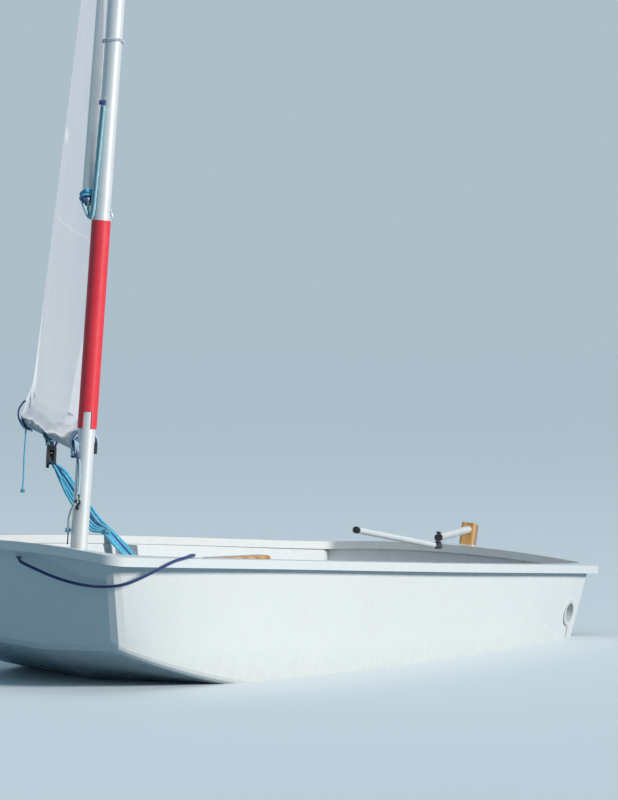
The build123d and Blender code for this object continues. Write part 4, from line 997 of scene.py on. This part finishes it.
# -------- toe straps
# The port strap; the starboard one is its mirror image
STRAP_FORE = Vector((-0.0915, 0.110, -0.0432))
STRAP_AFT = Vector((-1.1105, 0.110, 0.1265))
STRAP_WIDE, STRAP_THICK = 0.039, 0.0024
STRAP_SAG, STRAP_RIPPLE = 0.010, 0.0016
STRAP_POINTS = 80
FOLD_WIDE, FOLD_THICK = 0.0385, 0.0022
FOLDS = ((0.004, 0.070), (0.930, 0.996))
STITCHES = (
    # share of the fold's length and of the strap's width
    ((0.10, -0.36), (0.90, -0.36), (0.90, 0.36), (0.10, 0.36), (0.10, -0.36), (0.90, 0.36)),
    ((0.90, -0.36), (0.10, 0.36)),
)
STITCH_R, STITCH_PROUD = 0.0006, 0.0042
straps = []
strap_up = PORT_WAY.cross((STRAP_AFT - STRAP_FORE).normalized()).normalized()
for side in (1, -1):
    def strap_line(k, side=side):
        p = STRAP_FORE.lerp(STRAP_AFT, k)
        p.y *= side
        sag = STRAP_SAG * 4 * k * (1 - k)
        return p - strap_up * (sag + STRAP_RIPPLE * math.sin(9 * k + side) * math.sin(math.pi * k))

    def strap_normal(k, side=side):
        lean = 0.16 * math.sin(7.3 * k + 1.9 * side) * math.sin(math.pi * k)
        return (strap_up + Vector((0, lean, 0))).normalized()

    ks = [i / STRAP_POINTS for i in range(STRAP_POINTS + 1)]
    straps.append(ribbon("toe_strap", [strap_line(k) for k in ks], [strap_normal(k) for k in ks],
                         STRAP_WIDE, STRAP_THICK))
    for k0, k1 in FOLDS:
        fold = [k0 + (k1 - k0) * i / 10 for i in range(11)]
        straps.append(ribbon("toe_strap_fold", [strap_line(k) + strap_up * FOLD_THICK for k in fold],
                             [strap_normal(k) for k in fold], FOLD_WIDE, FOLD_THICK))
        for line in STITCHES:
            path = []
            for (x0, y0), (x1, y1) in zip(line, line[1:]):
                for i in range(8):
                    q = i / 8
                    k = k0 + (k1 - k0) * (x0 + (x1 - x0) * q)
                    across = PORT_WAY * ((y0 + (y1 - y0) * q) * STRAP_WIDE)
                    path.append(strap_line(k) + across + strap_up * STITCH_PROUD)
            straps.append(add_mesh("toe_strap_thread", *tube_geometry(path, STITCH_R, 5), WHITE_CORD, "hull"))
straps = join("toe_strap_webbing", straps)
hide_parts("toe_straps")

# -------- stopper knot on the painter's coil
end_way = (painter_points[-1] - painter_points[-2]).normalized()
stopper = knot("painter_stopper", painter_points[-1] + UP * 0.0006, end_way, 0.0066, 0.0034, NAVY, "hull")

# -------- floor at the waterline and light
WATER_NORMAL = Vector((0.027943, -0.041710, 0.998739))
FLOOR_HALF = 60.0
bm = bmesh.new()
bm.from_mesh(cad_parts["hull_shell"].data)
cut = bmesh.ops.bisect_plane(bm, geom=bm.verts[:] + bm.edges[:] + bm.faces[:],
                             plane_co=(0, 0, 0), plane_no=WATER_NORMAL)
outline = [e.co.copy() for e in cut["geom_cut"] if isinstance(e, bmesh.types.BMVert)]
bm.free()


def convex(points):
    """The outline of the points seen from above."""
    points = sorted(set((round(p.x, 5), round(p.y, 5)) for p in points))
    halves = []
    for seq in (points, points[::-1]):
        half = []
        for p in seq:
            while len(half) > 1 and ((half[-1][0] - half[-2][0]) * (p[1] - half[-2][1])
                                     - (half[-1][1] - half[-2][1]) * (p[0] - half[-2][0])) <= 0:
                half.pop()
            half.append(p)
        halves += half[:-1]
    return halves


def on_water(x, y):
    return Vector((x, y, -(WATER_NORMAL.x * x + WATER_NORMAL.y * y) / WATER_NORMAL.z))


# The floor is the water's plane with the hull's own outline left open
square = [on_water(x * FLOOR_HALF, y * FLOOR_HALF) for x, y in ((-1, -1), (1, -1), (1, 1), (-1, 1))]
inner = [on_water(x * 0.998, y * 0.996) for x, y in convex(outline)]
tris = tessellate_polygon([square, inner])
floor_mesh = bpy.data.meshes.new("floor")
floor_mesh.from_pydata(square + inner, [], [tuple(t) for t in tris])
floor = bpy.data.objects.new("floor", floor_mesh)
bpy.context.collection.objects.link(floor)
m, nt, bsdf = new_material("floor_pale")
shade = to_range(nt, noise_tex(nt, coords(nt), 0.8, 3.0), 0.0, 1.0)
pale = mix(nt, (0.76, 0.80, 0.825), (0.75, 0.79, 0.815), shade)
eye = node(nt, "ShaderNodeLightPath").outputs["Is Camera Ray"]
feed(nt, bsdf, {"Base Color": mix(nt, (0.22, 0.33, 0.42), pale, eye), "Roughness": 0.9, "Specular IOR Level": 0.1})
floor_mesh.materials.append(m)
floor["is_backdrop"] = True


def add_light(name, data, way):
    """A light object that shines along a direction."""
    o = bpy.data.objects.new(name, data)
    bpy.context.collection.objects.link(o)
    o.rotation_mode = "QUATERNION"
    o.rotation_quaternion = way.to_track_quat("-Z", "Y")
    return o


def area_light(name, place, aim, size, power, colour):
    data = bpy.data.lights.new(name, "AREA")
    data.shape = "DISK"
    data.size = size
    data.energy = power
    data.color = colour
    add_light(name, data, Vector(aim) - Vector(place)).location = place


SUN_FROM = Vector((0.0, 0.90, 0.38))
sun = bpy.data.lights.new("key", "SUN")
sun.energy = 3.5
sun.angle = math.radians(12)
sun.color = (1.0, 0.985, 0.95)
add_light("key", sun, -SUN_FROM)
area_light("fill", (9.0, -4.0, 5.0), (0.2, 0, 0.8), 7.0, 30, (0.90, 0.95, 1.0))
area_light("sky", (1.5, -1.0, 12.0), (0.2, 0, 0.4), 9.0, 225, (0.92, 0.96, 1.0))
world = bpy.data.worlds.new("world")
world.use_nodes = True
nt = world.node_tree
ambient = nt.nodes["Background"]
feed(nt, ambient, {"Color": (0.42, 0.76, 1.0), "Strength": 0.34})
backdrop = node(nt, "ShaderNodeBackground", {"Color": (0.42, 0.52, 0.59), "Strength": 1.0})
ray = node(nt, "ShaderNodeLightPath").outputs
seen = maths(nt, "MAXIMUM", ray["Is Camera Ray"], ray["Is Glossy Ray"])
seen = maths(nt, "MAXIMUM", seen, ray["Is Transmission Ray"])
either = node(nt, "ShaderNodeMixShader", {0: seen, 1: ambient.outputs[0], 2: backdrop.outputs[0]})
feed(nt, nt.nodes["World Output"], {"Surface": either.outputs[0]})
bpy.context.scene.world = world
bpy.context.scene.view_settings.view_transform = "Standard"

low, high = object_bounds()
